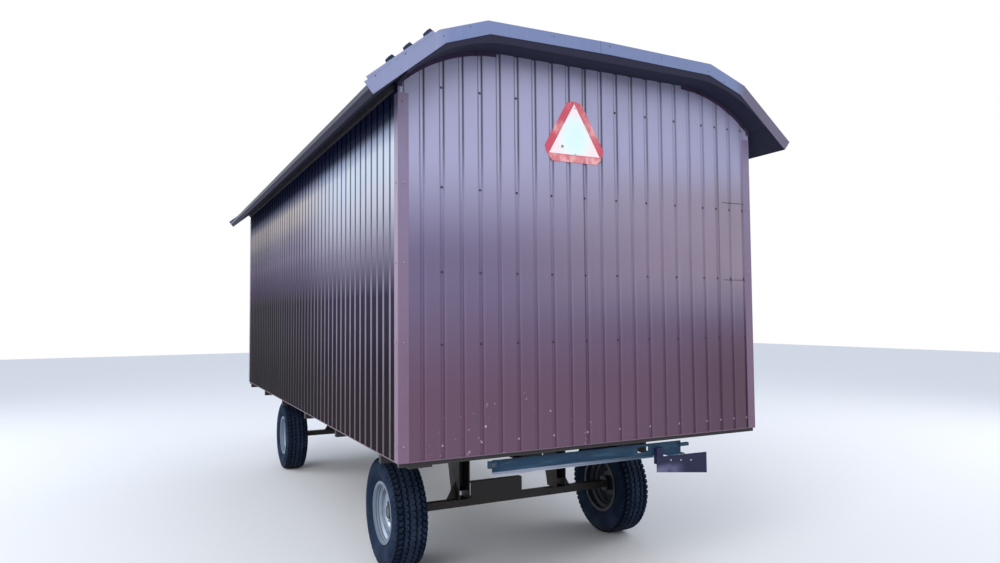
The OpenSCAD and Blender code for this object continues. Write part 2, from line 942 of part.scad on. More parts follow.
// A tyre with lugs cut round both of its shoulders, those of one side half a step further on
module tyre(x, y) {
    lug_l = tyre_w / 2;
    color(tyre_black)
        translate([x, y, wheel_z])
            difference() {
                rotate([0, 90, 0])
                    rotate_extrude($fn = 96)
                        tyre_2d();
                for (i = [0:lug_n - 1], side = [-1, 1])
                    rotate([(i + side / 4) * 360 / lug_n, 0, 0])
                        translate([side > 0 ? lug_x : -lug_x - lug_l, -lug_gap / 2, wheel_r - tread_d])
                            cube([lug_l, lug_gap, 2 * tread_d]);
            }
}

// Half the section of a rim's stepped barrel: axial distance and radius, from the flange inwards
function barrel(t) = [[rim_half - t, rim_flange], [rim_half - t, rim_seat - rim_t + t],
    [rim_half - seat_w + t / 2, rim_seat - rim_t + t],
    [rim_half - seat_w - well_ramp + t / 2, rim_well - rim_t + t]];

// A rim with a stepped barrel, a dished disc, nuts, a hub and its closed cap; out is the outer side
module rim(x, y, out) {
    outer = barrel(rim_t);
    inner = barrel(0);
    section = concat(inner, backwards([for (p = inner) [-p[0], p[1]]]),
        [for (p = outer) [-p[0], p[1]]], backwards(outer));
    plate_out = 18;
    boss_r = stud_r + 14;
    disc = [[4, rim_well - 1], [24, rim_well - 9], [32, rim_well - 20], [32, stud_r + 34],
        [plate_out + 4, stud_r + 20], [plate_out, boss_r], [plate_out, hub_r - 1]];
    disc_back = [for (p = backwards(disc)) [p[0] - rim_t - 1, p[1]]];
    bore = spindle_d / 2 + bore_gap;
    cap_t = 9;
    cap_in = spindle_end + hub_gap;
    cap_out = cap_in + cap_t;
    cap_r = hub_r - 14;
    nut_d = 26;
    nut_h = 16;
    color(rim_silver)
        translate([x, y, wheel_z])
            rotate([0, 90 * out, 0]) {
                rotate_extrude($fn = 96) {
                    polygon([for (p = section) [p[1], p[0]]]);
                    polygon([for (p = concat(disc, disc_back)) [p[1], p[0]]]);
                    polygon([[bore, -hub_in], [hub_r, -hub_in], [hub_r, plate_out + 2],
                        [cap_r + 6, cap_out - 10], [cap_r, cap_out], [0, cap_out],
                        [0, cap_in], [bore, cap_in]]);
                    translate([hub_r - 1, 0])
                        square([boss_r - hub_r, plate_out - rim_t]);
                }
                for (i = [0:stud_n - 1])
                    rotate(i * 360 / stud_n)
                        translate([stud_r, 0, plate_out - 1])
                            cylinder(h = nut_h, d = nut_d, $fn = 6);
            }
}

module tyre_rear_left() { tyre(-wheel_x, axle_y_rear); }
module rim_rear_left() { rim(-wheel_x, axle_y_rear, -1); }
module tyre_rear_right() { tyre(wheel_x, axle_y_rear); }
module rim_rear_right() { rim(wheel_x, axle_y_rear, 1); }
module tyre_front_left() { tyre(-wheel_x, axle_y_front); }
module rim_front_left() { rim(-wheel_x, axle_y_front, -1); }
module tyre_front_right() { tyre(wheel_x, axle_y_front); }
module rim_front_right() { rim(wheel_x, axle_y_front, 1); }

// Warning triangle

module triangle_2d(side) {
    h = side * sqrt(3) / 2;
    polygon([[-side / 2, -h / 3], [side / 2, -h / 3], [0, 2 * h / 3]]);
}

module triangle_border_2d() {
    outer_side = triangle_side + 2 * sqrt(3) * triangle_border;
    cut_line = (outer_side / sqrt(3)) - triangle_cut * sqrt(3) / 2;
    difference() {
        triangle_2d(outer_side);
        for (i = [0:2])
            rotate(i * 120)
                translate([-outer_side / 2, cut_line])
                    square([outer_side, outer_side]);
        triangle_2d(triangle_side);
    }
}

module triangle_border_piece() {
    color("red")
        along_y(rear_y - 2, rear_y)
            translate([triangle_x, triangle_z])
                triangle_border_2d();
}

module triangle_centre() {
    color("white")
        along_y(rear_y - 2, rear_y)
            translate([triangle_x, triangle_z])
                triangle_2d(triangle_side);
}

chassis_rails();
cross_members();
rear_bar();
tail_plate();
rear_axle();
rear_legs();
front_axle();
front_legs();
front_subframe();
turntable();
drawbar();
tyre_rear_left();
rim_rear_left();
tyre_rear_right();
rim_rear_right();
tyre_front_left();
rim_front_left();
tyre_front_right();
rim_front_right();
floor();
rear_wall();
front_wall();
left_wall();
right_wall();
rear_cladding();
front_cladding();
left_cladding();
right_cladding();
corner_trims_rear();
corner_trims_front();
gable_strip_rear();
gable_strip_front();
eave_batten_left();
eave_batten_right();
roof_deck();
roof_sheet();
verge_rear();
verge_front();
eave_left();
eave_right();
door_leaf();
door_frame();
door_handle();
triangle_border_piece();
triangle_centre();
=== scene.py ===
# Hut on wheels: camera, light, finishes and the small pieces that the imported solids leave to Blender.
import math
import bpy
import numpy as np
from mathutils import Matrix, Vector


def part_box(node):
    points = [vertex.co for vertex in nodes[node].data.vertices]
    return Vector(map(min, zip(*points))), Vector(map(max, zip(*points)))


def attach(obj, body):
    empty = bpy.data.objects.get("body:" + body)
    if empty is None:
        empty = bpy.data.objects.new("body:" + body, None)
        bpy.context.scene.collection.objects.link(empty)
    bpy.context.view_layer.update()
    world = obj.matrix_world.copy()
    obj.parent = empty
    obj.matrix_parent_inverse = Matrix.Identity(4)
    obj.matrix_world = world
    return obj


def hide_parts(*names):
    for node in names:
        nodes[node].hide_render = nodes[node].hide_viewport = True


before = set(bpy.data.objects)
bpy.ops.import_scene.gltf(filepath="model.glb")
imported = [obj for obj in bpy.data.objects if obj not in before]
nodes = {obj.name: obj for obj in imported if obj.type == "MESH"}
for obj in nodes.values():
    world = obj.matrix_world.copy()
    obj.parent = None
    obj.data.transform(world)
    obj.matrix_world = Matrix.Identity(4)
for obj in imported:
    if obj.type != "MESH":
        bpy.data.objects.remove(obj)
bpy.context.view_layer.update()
print("frame loaded:", len(nodes), "solids")

# places on the hut that the finishes and the small pieces share, in metres; the slope is in degrees
hut = {"left": -1.25, "right": 1.25, "rear": -3.34925, "front": 2.15075, "foot": 0.92,
       "firstGroove": 0.134, "groovePitch": 0.115, "grooveDepth": 0.008, "endGrooves": 21,
       "archHalf": 0.65, "archRadius": 0.86186, "gableTop": 3.16315,
       "lowSlope": 39.5, "lowSlopeEnds": [(1.037, 2.19058), (1.43, 1.86662)], "vergeOut": 0.15,
       "axles": (-2.18925, 1.45075), "axleHeight": 0.3663}

# the camera, solved from the photograph
viewpoint = {"place": (-2.4658, -6.943, 1.6776), "yaw": -0.4667, "pitch": 0.0482, "roll": -0.0076,
             "focalPixels": 721.9, "imageWidth": 1000}


def addObject(name, data, axes=None, place=None):
    # axes are the object's own x, y and z
    thing = bpy.data.objects.new(name, data)
    if axes:
        turn = np.eye(4)
        turn[:3, :3], turn[:3, 3] = np.stack(axes, 1), place
        thing.matrix_world = Matrix(turn.tolist())
    bpy.context.scene.collection.objects.link(thing)
    return thing


def placeCamera(v):
    # forward from yaw and pitch, then right and up turned about forward by the roll
    forward = np.array([-math.sin(v["yaw"]) * math.cos(v["pitch"]),
                        math.cos(v["yaw"]) * math.cos(v["pitch"]), math.sin(v["pitch"])])
    level = np.array([math.cos(v["yaw"]), math.sin(v["yaw"]), 0.0])
    upright = np.cross(level, forward)
    c, s = math.cos(v["roll"]), math.sin(v["roll"])
    right, up = c * level + s * upright, c * upright - s * level
    data = bpy.data.cameras.new("photoCamera")
    data.sensor_width = 36.0
    data.lens = 36.0 * v["focalPixels"] / v["imageWidth"]
    data.clip_end = 200.0
    bpy.context.scene.camera = addObject("photoCamera", data, (right, up, -forward), v["place"])


placeCamera(viewpoint)


# shader expressions
class Wire:
    # one output socket; + - * / ** and comparisons add Math nodes
    def __init__(self, paint, socket):
        self.paint, self.socket = paint, socket

    def math(self, operation, *others):
        return self.paint.node("Math", {"operation": operation}, dict(enumerate((self,) + others)))

    def flipped(self, operation, other):
        return self.paint.node("Math", {"operation": operation}, {0: other, 1: self})

    def __add__(self, other): return self.math("ADD", other)
    def __radd__(self, other): return self.math("ADD", other)
    def __sub__(self, other): return self.math("SUBTRACT", other)
    def __rsub__(self, other): return self.flipped("SUBTRACT", other)
    def __mul__(self, other): return self.math("MULTIPLY", other)
    def __rmul__(self, other): return self.math("MULTIPLY", other)
    def __truediv__(self, other): return self.math("DIVIDE", other)
    def __rtruediv__(self, other): return self.flipped("DIVIDE", other)
    def __pow__(self, other): return self.math("POWER", other)
    def __gt__(self, other): return self.math("GREATER_THAN", other)
    def __lt__(self, other): return self.math("LESS_THAN", other)

    def clamp(self): return self.paint.node("Clamp", {}, {"Value": self})
    def sin(self): return self.math("SINE")
    def abs(self): return self.math("ABSOLUTE")
    def fract(self): return self.math("FRACT")

    def line(self, centre, half):
        # 1 at the centre, falling to 0 at half a width to either side
        return (1.0 - (self - centre).abs() / half).clamp()

    def between(self, low, high):
        # 0 below low, 1 above high, smooth in between
        limits = {"From Min": low, "From Max": high, "To Min": 0.0, "To Max": 1.0}
        return self.paint.node("MapRange", {"interpolation_type": "SMOOTHSTEP"}, {"Value": self, **limits})


class Paint:
    # a material, or the world, under construction: place() gives Object coordinates in metres
    def __init__(self, name, world=None):
        self.material = world or bpy.data.materials.new(name)
        self.material.use_nodes = True
        self.tree = self.material.node_tree
        self.tree.nodes.clear()

    def node(self, kind, settings, sockets, out=0):
        new = self.tree.nodes.new("ShaderNode" + kind)
        for key, value in settings.items():
            if key == "stops":
                ramp = new.color_ramp
                while len(ramp.elements) < len(value):
                    ramp.elements.new(0.5)
                for element, (position, colour) in zip(ramp.elements, value):
                    element.position, element.color = position, (*colour, 1.0)
            else:
                setattr(new, key, value)
        for key, value in sockets.items():
            if isinstance(value, Wire):
                self.tree.links.new(value.socket, new.inputs[key])
            else:
                new.inputs[key].default_value = value
        return Wire(self, new.outputs[out]) if len(new.outputs) else None

    def place(self, scale=(1.0, 1.0, 1.0)):
        start = self.node("TexCoord", {}, {}, "Object")
        return self.node("Mapping", {}, {"Vector": start, "Scale": scale})

    def axis(self, which, source="Object"):
        start = self.node("TexCoord", {}, {}, source)
        return self.node("SeparateXYZ", {}, {"Vector": start}, which)

    def noise(self, size, stretch=(1.0, 1.0, 1.0), detail=3.0, rough=0.55):
        # size is the width of a patch in metres; stretch lengthens it along an axis
        where = self.place(tuple(1.0 / s for s in stretch))
        return self.node("TexNoise", {}, {"Vector": where, "Scale": 1.0 / size, "Detail": detail,
                                          "Roughness": rough}, "Fac")

    def cells(self, size):
        # distance from the middle of the nearest cell, in cells of this size
        return self.node("TexVoronoi", {}, {"Vector": self.place(), "Scale": 1.0 / size}, "Distance")

    def mix(self, first, second, factor):
        def whole(c): return c if isinstance(c, Wire) else (*c, 1.0)
        return self.node("Mix", {"data_type": "RGBA"}, {0: factor, 6: whole(first), 7: whole(second)}, 2)

    def scaled(self, colour, factor):
        return self.node("VectorMath", {"operation": "SCALE"}, {0: colour, "Scale": factor})

    def ramp(self, factor, stops):
        return self.node("ValToRGB", {"stops": stops}, {0: factor})

    def offGroove(self, which, first):
        # signed distance in metres from the middle of the nearest groove along an axis
        step = hut["groovePitch"]
        return (((self.axis(which) - first) / step + 0.5).fract() - 0.5) * step

    def bump(self, height, depth, under=None):
        # depth is the full height of the relief in metres
        sockets = {"Height": height, "Strength": 1.0, "Distance": depth}
        if under is not None:
            sockets["Normal"] = under
        return self.node("Bump", {}, sockets)

    def finish(self, **sockets):
        names = {"colour": "Base Color", "rough": "Roughness", "metal": "Metallic", "normal": "Normal",
                 "gloss": "Specular IOR Level", "coat": "Coat Weight", "coatRough": "Coat Roughness",
                 "glow": "Emission Color", "glowStrength": "Emission Strength"}
        values = {names[k]: ((*v, 1.0) if isinstance(v, tuple) else v) for k, v in sockets.items()}
        shader = self.node("BsdfPrincipled", {}, values)
        self.node("OutputMaterial", {}, {"Surface": shader})
        return self.material


# coated sheet: reddish brown at the foot and paler towards the eaves, a painted reflection of the sky, with a
# painted sheen band below the eaves; pairs are where a tone starts and is full, lines are offset from the
# groove, half width and strength
endLook = {"foot": (0.121, 0.054, 0.105), "middle": (0.155, 0.119, 0.225), "head": (0.43, 0.425, 0.63),
           "heights": (1.2, 1.95, 2.6), "sheen": (0.34, 0.265, 0.35), "rightFoot": (0.085, 0.032, 0.068),
           "sheenRise": (1.55, 2.0), "sheenEnd": (2.75, 2.35), "sheenAcross": (-1.3, 1.4),
           "rightFootHeights": (1.75, 1.2), "rightFootAcross": (0.2, 1.2),
           "upper": (2.2, 2.7), "upperFade": (-0.1, 0.9), "lower": (2.2, 1.6),
           "upperLines": [(0.0, 0.009, 0.28), (-0.0125, 0.0065, -0.8), (0.012, 0.0075, -0.93)],
           "lowerLines": [(0.017, 0.006, 0.35), (0.024, 0.01, 0.08)],
           "edges": [-0.084, 0.970], "edgeHalf": 0.006, "edgeShade": 0.75,
           "chipSize": 0.035, "chipTone": (0.6, 0.48, 0.52), "chipsAt": (-0.5, 0.6),
           "chipHeights": (1.3, 1.02)}
# the roof sheet's tones by height, a painted reflection of the sky
roofLook = {"foot": (0.115, 0.063, 0.097), "middle": (0.149, 0.11, 0.171), "head": (0.243, 0.234, 0.36),
            "heights": (0.95, 1.9, 3.1)}
# the long walls' tones at these heights over the wall's foot, near the rear end and further along: a painted
# reflection of the sky, dark low down and pale below the eaves; the flanks that face the rear get a painted
# highlight low down and painted shade high up
sideLook = {"stripe": (0.4, 0.34, 0.44), "stripeFoot": (0.22, 0.18, 0.2), "stripeHeights": (1.0, 1.7),
            "flank": (0.008, 0.0165), "lower": (2.1, 1.8), "upper": (2.0, 2.3), "flankShade": 0.75,
            "away": (-2.4, -0.6), "farEnd": (-0.8, 1.6), "farShade": 0.35, "span": 2.0,
            "heights": [0.0, 0.48, 0.88, 1.03, 1.18, 1.28, 1.38, 1.48, 1.58, 1.7, 1.78, 1.84, 1.9],
            "near": [(0.008, 0.004, 0.009), (0.006, 0.003, 0.01), (0.022, 0.018, 0.045), (0.12, 0.108, 0.17),
                     (0.255, 0.235, 0.32), (0.38, 0.375, 0.465), (0.51, 0.515, 0.615), (0.58, 0.6, 0.71),
                     (0.61, 0.68, 0.8), (0.69, 0.76, 0.9), (0.46, 0.52, 0.72), (0.055, 0.066, 0.13),
                     (0.014, 0.02, 0.07)],
            "far": [(0.004, 0.003, 0.005), (0.003, 0.002, 0.005), (0.006, 0.005, 0.01), (0.07, 0.055, 0.1),
                    (0.13, 0.108, 0.175), (0.205, 0.168, 0.25), (0.225, 0.2, 0.28), (0.29, 0.26, 0.32),
                    (0.45, 0.4, 0.415), (0.56, 0.5, 0.5), (0.22, 0.23, 0.34), (0.02, 0.025, 0.07),
                    (0.01, 0.015, 0.06)]}
# weathering of the coated sheets: widths and depths in metres, tones, and how much of each shows
wear = {"streakWide": 0.05, "cloudWide": 0.6, "dustLift": 1.9, "dust": 0.2, "grimeTone": (0.03, 0.018, 0.022),
        "grime": 0.15, "scuffWide": 0.09, "scuffTone": (0.42, 0.36, 0.34), "scuff": 0.35,
        "dentWide": 0.45, "dentDeep": 0.004, "grainWide": 0.004, "grainDeep": 0.00006}


def coatedSheet(p, colour, along, gloss=0.6, coat=0.15, shade=None, matt=0.36):
    # the weathering that all the sheets share: streaks, clouds and small pale scuffs
    streak = p.noise(wear["streakWide"], along, 4.0)
    cloud = p.noise(wear["cloudWide"], (1.0, 1.0, 1.6), 4.0)
    dust = (streak.between(0.5, 0.85) * cloud.between(0.35, 0.8) * wear["dust"]).clamp()
    colour = p.mix(colour, p.scaled(colour, wear["dustLift"]), dust)
    colour = p.mix(colour, wear["grimeTone"], (cloud.between(0.5, 0.85) * wear["grime"]).clamp())
    speck = p.cells(wear["scuffWide"]).between(0.06, 0.03) * p.noise(0.5).between(0.55, 0.7)
    colour = p.mix(colour, wear["scuffTone"], (speck * wear["scuff"]).clamp())
    if shade is not None:
        colour = p.scaled(colour, shade)
    rough = matt + cloud * 0.12 + streak * 0.08
    dent = p.bump(p.noise(wear["dentWide"], (1.0, 1.0, 2.0), 2.0), wear["dentDeep"])
    grain = p.bump(p.noise(wear["grainWide"], detail=2.0), wear["grainDeep"], dent)
    return p.finish(colour=colour, rough=rough, normal=grain, gloss=gloss, coat=coat, coatRough=0.3)


def skySheenByHeight(p, look):
    # painted reflection of the sky: foot, middle and head tones blended by height
    low, middle, high = look["heights"]
    height = p.axis("Z")
    return p.mix(p.mix(look["foot"], look["middle"], height.between(low, middle)), look["head"],
                 height.between(middle, high))


def thinLines(u, lines):
    # thin lines added up, each with its place along u, half width and strength
    offset, half, strength = lines[0]
    total = u.line(offset, half) * strength
    for offset, half, strength in lines[1:]:
        total = total + u.line(offset, half) * strength
    return total


def endPaint(name, look, first):
    # rear and front walls: painted shade and highlight lines along each groove, and two stronger dark lines
    # where sheets overlap
    p = Paint(name)
    height, x = p.axis("Z"), p.axis("X")
    colour = skySheenByHeight(p, look)
    band = height.between(*look["sheenRise"]) * height.between(*look["sheenEnd"])
    colour = p.mix(colour, look["sheen"], band * x.between(*look["sheenAcross"]))
    rightFoot = height.between(*look["rightFootHeights"]) * x.between(*look["rightFootAcross"])
    colour = p.mix(colour, look["rightFoot"], rightFoot)
    # painted shade and highlight lines beside each groove high up, fading towards the right, and painted
    # highlights lower down
    high = height.between(*look["upper"]) * (1.0 - x.between(*look["upperFade"]) * 0.5)
    u = p.offGroove("X", first)
    shade = 1.0 + high * thinLines(u, look["upperLines"])
    shade = shade + height.between(*look["lower"]) * thinLines(u, look["lowerLines"])
    for edge in look["edges"]:
        shade = shade * (1.0 - x.line(edge, look["edgeHalf"]) * look["edgeShade"])
    chips = p.cells(look["chipSize"]).between(0.22, 0.16) * p.noise(0.06, detail=2.0).between(0.55, 0.62)
    chips = chips * x.line(*look["chipsAt"]) * height.between(*look["chipHeights"])
    colour = p.mix(colour, look["chipTone"], (chips * 1.6).clamp())
    return coatedSheet(p, colour, (1.0, 1.0, 30.0), shade=shade)


def sidePaint(name, look, first):
    # long walls: a painted reflection of the sky, dark low down, pale near the eaves and weaker further from
    # the rear, with painted highlight and shade on the flanks that face the rear
    p = Paint(name)
    height, y = p.axis("Z"), p.axis("Y")
    rise, away = (height - hut["foot"]) / look["span"], y.between(*look["away"])
    near, far = ([(h / look["span"], tone) for h, tone in zip(look["heights"], look[part])]
                 for part in ("near", "far"))
    colour = p.mix(p.ramp(rise, near), p.ramp(rise, far), away)
    u = p.offGroove("Y", first)
    flank = (u > look["flank"][0]) * (u < look["flank"][1])
    stripe = p.mix(look["stripeFoot"], look["stripe"], height.between(*look["stripeHeights"]))
    # painted highlight on the flanks low down, weaker further along
    colour = p.mix(colour, p.scaled(stripe, 1.0 - away * 0.5), flank * height.between(*look["lower"]))
    shade = 1.0 - flank * height.between(*look["upper"]) * look["flankShade"]
    shade = shade * (1.0 - y.between(*look["farEnd"]) * look["farShade"])
    return coatedSheet(p, colour, (1.0, 1.0, 30.0), 0.05, 0.0, shade, 0.6)


def roofPaint(name, look):
    p = Paint(name)
    return coatedSheet(p, skySheenByHeight(p, look), (1.0, 30.0, 1.0))


# corner trims and flashings: where the painted reflections on the lower slopes set in, the lap line and the
# eave's painted lit part
trimLook = {"heights": (1.0, 2.9), "slopesFrom": (0.98, 1.1), "lap": (-0.059, 0.004), "lapShade": 0.6,
            "streakWide": 0.03, "cloudWide": 0.5, "grimeTone": (0.04, 0.025, 0.03), "grime": 0.22,
            "litTone": (0.2, 0.22, 0.36), "litOver": (0.02, 0.03)}


def trimPaint(name, base, light, leftSlopeReflection=None, rightSlopeReflection=None, lip=None):
    # light is the colour high up, a painted reflection of the sky; lip is the height of an eave flashing's
    # lower edge
    p = Paint(name)
    x = p.axis("X")
    cloud = p.noise(trimLook["cloudWide"], (1.0, 1.0, 1.5), 4.0)
    streak = p.noise(trimLook["streakWide"], (1.0, 1.0, 12.0), 4.0)
    colour = p.mix(base, light, p.axis("Z").between(*trimLook["heights"]))
    # painted reflections: paler on the left lower slope, darker on the right one
    if leftSlopeReflection:
        start, full = trimLook["slopesFrom"]
        colour = p.mix(colour, leftSlopeReflection, x.between(-start, -full))
        colour = p.mix(colour, rightSlopeReflection, x.between(start, full))
        colour = p.scaled(colour, 1.0 - x.line(*trimLook["lap"]) * trimLook["lapShade"])
    colour = p.mix(colour, p.scaled(colour, 1.5), (streak.between(0.5, 0.8) * 0.25).clamp())
    colour = p.mix(colour, trimLook["grimeTone"], (cloud.between(0.52, 0.8) * trimLook["grime"]).clamp())
    if lip:
        lit = p.axis("Z").between(*(lip + over for over in trimLook["litOver"]))
        colour = p.mix(colour, trimLook["litTone"], lit)
    dent = p.bump(p.noise(0.25, detail=2.0), 0.002)
    return p.finish(colour=colour, rough=0.38 + cloud * 0.14, normal=dent, gloss=0.7, coat=0.2, coatRough=0.3)


def boardPaint(name, light, dark, boardWidth, across, along):
    # sawn boards: across is the axis the boards follow each other on, along is the stretch of the grain
    p = Paint(name)
    place = p.axis(across)
    number = (place / boardWidth).math("FLOOR")
    # each board's own shade: a sine of its number, in steps that don't repeat
    own = (number * 12.9898).sin().abs()
    grain = p.noise(0.006, along, 5.0, 0.65)
    colour = p.mix(dark, light, (grain.between(0.3, 0.7) * 0.6 + own * 0.4).clamp())
    gap = ((place / boardWidth).fract() - 0.5).abs().between(0.47, 0.495)
    colour = p.mix(colour, tuple(v * 0.25 for v in dark), gap)
    relief = p.bump(gap * -1.0 + grain * 0.15, 0.003)
    return p.finish(colour=colour, rough=0.72 + grain * 0.15, normal=relief)


def steelPaint(name, base, chip, chipAmount=0.5, rough=0.5):
    p = Paint(name)
    cloud = p.noise(0.18, detail=5.0)
    fine = p.noise(0.012, detail=4.0)
    flake = (cloud * 0.6 + fine * 0.4).between(0.52, 0.62) * chipAmount
    colour = p.mix(base, chip, flake.clamp())
    rubbed = tuple(min(1.0, v * 1.9 + 0.01) for v in base)
    scrape = p.noise(0.05, (6.0, 1.0, 1.0), 3.0).between(0.55, 0.8)
    colour = p.mix(colour, rubbed, (scrape * 0.4).clamp())
    relief = p.bump(flake * -0.6 + fine * 0.4, 0.0008)
    return p.finish(colour=colour, rough=rough + fine * 0.2 + flake * 0.2, normal=relief)


# lip is the colour of a painted highlight along the bar's lower edge
barLook = {"base": (0.011, 0.046, 0.095), "worn": (0.04, 0.098, 0.16), "dark": (0.008, 0.014, 0.026),
           "lip": (0.45, 0.48, 0.58), "lipHeights": (0.816, 0.81), "lipAcross": (0.5, -0.5)}


def barPaint(name, look):
    # galvanised bar gone slate blue, streaked along its length, with a painted highlight along its lower edge
    # on the left
    p = Paint(name)
    streak = p.noise(0.02, (9.0, 1.0, 1.0), 4.0)
    cloud = p.noise(0.16, detail=5.0)
    rubbed = (streak.between(0.42, 0.7) * 0.75 + cloud.between(0.5, 0.8) * 0.4).clamp()
    colour = p.mix(look["base"], look["worn"], rubbed)
    dark = p.noise(0.05, (3.0, 1.0, 1.0), 4.0).between(0.58, 0.75)
    colour = p.mix(colour, look["dark"], (dark * 0.55).clamp())
    # painted highlight on the lower edge, on the left
    edge = p.axis("Z").between(*look["lipHeights"]) * p.axis("X").between(*look["lipAcross"])
    colour = p.mix(colour, look["lip"], (edge * (0.4 + streak)).clamp())
    relief = p.bump(streak + cloud, 0.0008)
    return p.finish(colour=colour, rough=0.45 + cloud * 0.25, normal=relief, gloss=0.35)


plateLook = {"base": (0.011, 0.015, 0.055), "glare": (0.17, 0.17, 0.3), "glareAcross": (0.66, 0.53),
             "glareHeights": (0.765, 0.72), "bare": (0.3, 0.34, 0.4), "bareWide": (0.004, 0.001)}


def platePaint(name, look, rightEdge):
    # dark blue plate with a painted reflection of the sky at its lower left and a bright right edge
    p = Paint(name)
    x, z = p.axis("X"), p.axis("Z")
    cloud = p.noise(0.1, detail=1.0)
    glare = x.between(*look["glareAcross"]) * z.between(*look["glareHeights"]) * cloud.between(0.2, 0.6)
    colour = p.mix(look["base"], look["glare"], glare)
    colour = p.mix(colour, look["bare"], x.between(*(rightEdge - wide for wide in look["bareWide"])))
    return p.finish(colour=colour, rough=0.45 + cloud * 0.2, normal=p.bump(cloud, 0.0008), gloss=0.35)


def offAxle(p):
    # distance from the nearer axle's line, by folding the hut's length over its middle
    rear, front = hut["axles"]
    dy = (p.axis("Y") - (rear + front) / 2).abs() - (front - rear) / 2
    dz = p.axis("Z") - hut["axleHeight"]
    return (dy * dy + dz * dz) ** 0.5


rimLook = {"silver": (0.50, 0.56, 0.64), "dirty": (0.16, 0.17, 0.19), "line": (0.2, 0.25, 0.33),
           "step": (0.1, 0.16, 0.26), "disc": (0.045, 0.06, 0.085), "inside": (0.012, 0.013, 0.02),
           "lines": [(0.176, 0.006, 0.7), (0.155, 0.004, 0.5)], "stepTurns": 350.0, "stepsFrom": (0.1, 0.12),
           "discTo": (0.104, 0.094), "insideTo": (0.868, 0.85)}


def rimPaint(name, look):
    # silver barrel with painted highlight and shade stripes over its steps, dark disc round the hub,
    # inner side darkened by dirt and painted shade; r is the distance from the axle
    p = Paint(name)
    r = offAxle(p)
    ring = p.noise(0.02, detail=4.0)
    dirt = p.noise(0.07, detail=5.0).between(0.5, 0.75)
    colour = p.mix(look["silver"], look["dirty"], (dirt * 0.5).clamp())
    colour = p.mix(colour, look["line"], thinLines(r, look["lines"]).clamp())
    outward = p.axis("X").abs()
    # painted highlight and shade: alternating stripes across the barrel's steps
    steps = (outward * look["stepTurns"]).sin().between(-0.3, 0.6) * r.between(*look["stepsFrom"])
    colour = p.mix(colour, look["step"], steps * 0.75)
    colour = p.mix(colour, look["disc"], r.between(*look["discTo"]) * 0.85)
    # the inner side's surface normal points to the hut's middle, against its own x
    facing = p.axis("X", "Normal") * p.axis("X")
    inner = (outward.between(*look["insideTo"]) + (facing < -0.1)).clamp()
    # the inner side: darkened by dirt and painted shade
    colour = p.mix(colour, look["inside"], inner * 0.94)
    metal = (0.6 - dirt * 0.4 - inner * 0.6).clamp()
    return p.finish(colour=colour, rough=0.3 + ring * 0.15 + dirt * 0.25, metal=metal,
                    normal=p.bump(ring, 0.0004))


rubberLook = {"dark": (0.009, 0.019, 0.046), "worn": (0.036, 0.056, 0.1), "treadTop": (0.07, 0.1, 0.15),
              "topFrom": (0.3635, 0.3658), "deep": (0.002, 0.003, 0.006), "deepFrom": (0.338, 0.348),
              "deepTo": (0.3638, 0.357), "dust": (0.12, 0.095, 0.075), "dustTo": (0.16, 0.0)}


def rubberPaint(name, look):
    # dusty blue black; the tread's grooves and slots, which lie nearer to the axle, get painted shade
    p = Paint(name)
    cloud = p.noise(0.12, detail=5.0)
    fine = p.noise(0.006, detail=3.0)
    r = offAxle(p)
    worn = (cloud.between(0.35, 0.75) * 0.7 + fine * 0.3).clamp()
    colour = p.mix(look["dark"], look["worn"], worn)
    colour = p.mix(colour, look["treadTop"], r.between(*look["topFrom"]) * fine.between(0.4, 0.7) * 0.6)
    # painted shade in the tread's grooves and slots
    groove = r.between(*look["deepFrom"]) * r.between(*look["deepTo"])
    colour = p.mix(colour, look["deep"], groove * 0.85)
    foot = p.axis("Z").between(*look["dustTo"])
    colour = p.mix(colour, look["dust"], (foot * fine.between(0.35, 0.7) * 0.35).clamp())
    return p.finish(colour=colour, rough=0.75 + fine * 0.2, normal=p.bump(fine, 0.0006), gloss=0.08)


# the triangle's places are x and height from its middle
foilLook = {"coreOut": (0.07, 0.14), "coreIn": (0.12, 0.03), "bottom": (-0.098, -0.112),
            "rightAcross": (0.03, 0.06), "rightHeights": (-0.02, 0.04), "leftAcross": (-0.06, -0.09),
            "leftHeight": (0.055, 0.05), "stain": (0.36, 0.06, 0.09), "stainAt": (0.065, 0.02),
            "scratch": (0.3, 0.05, 0.08)}


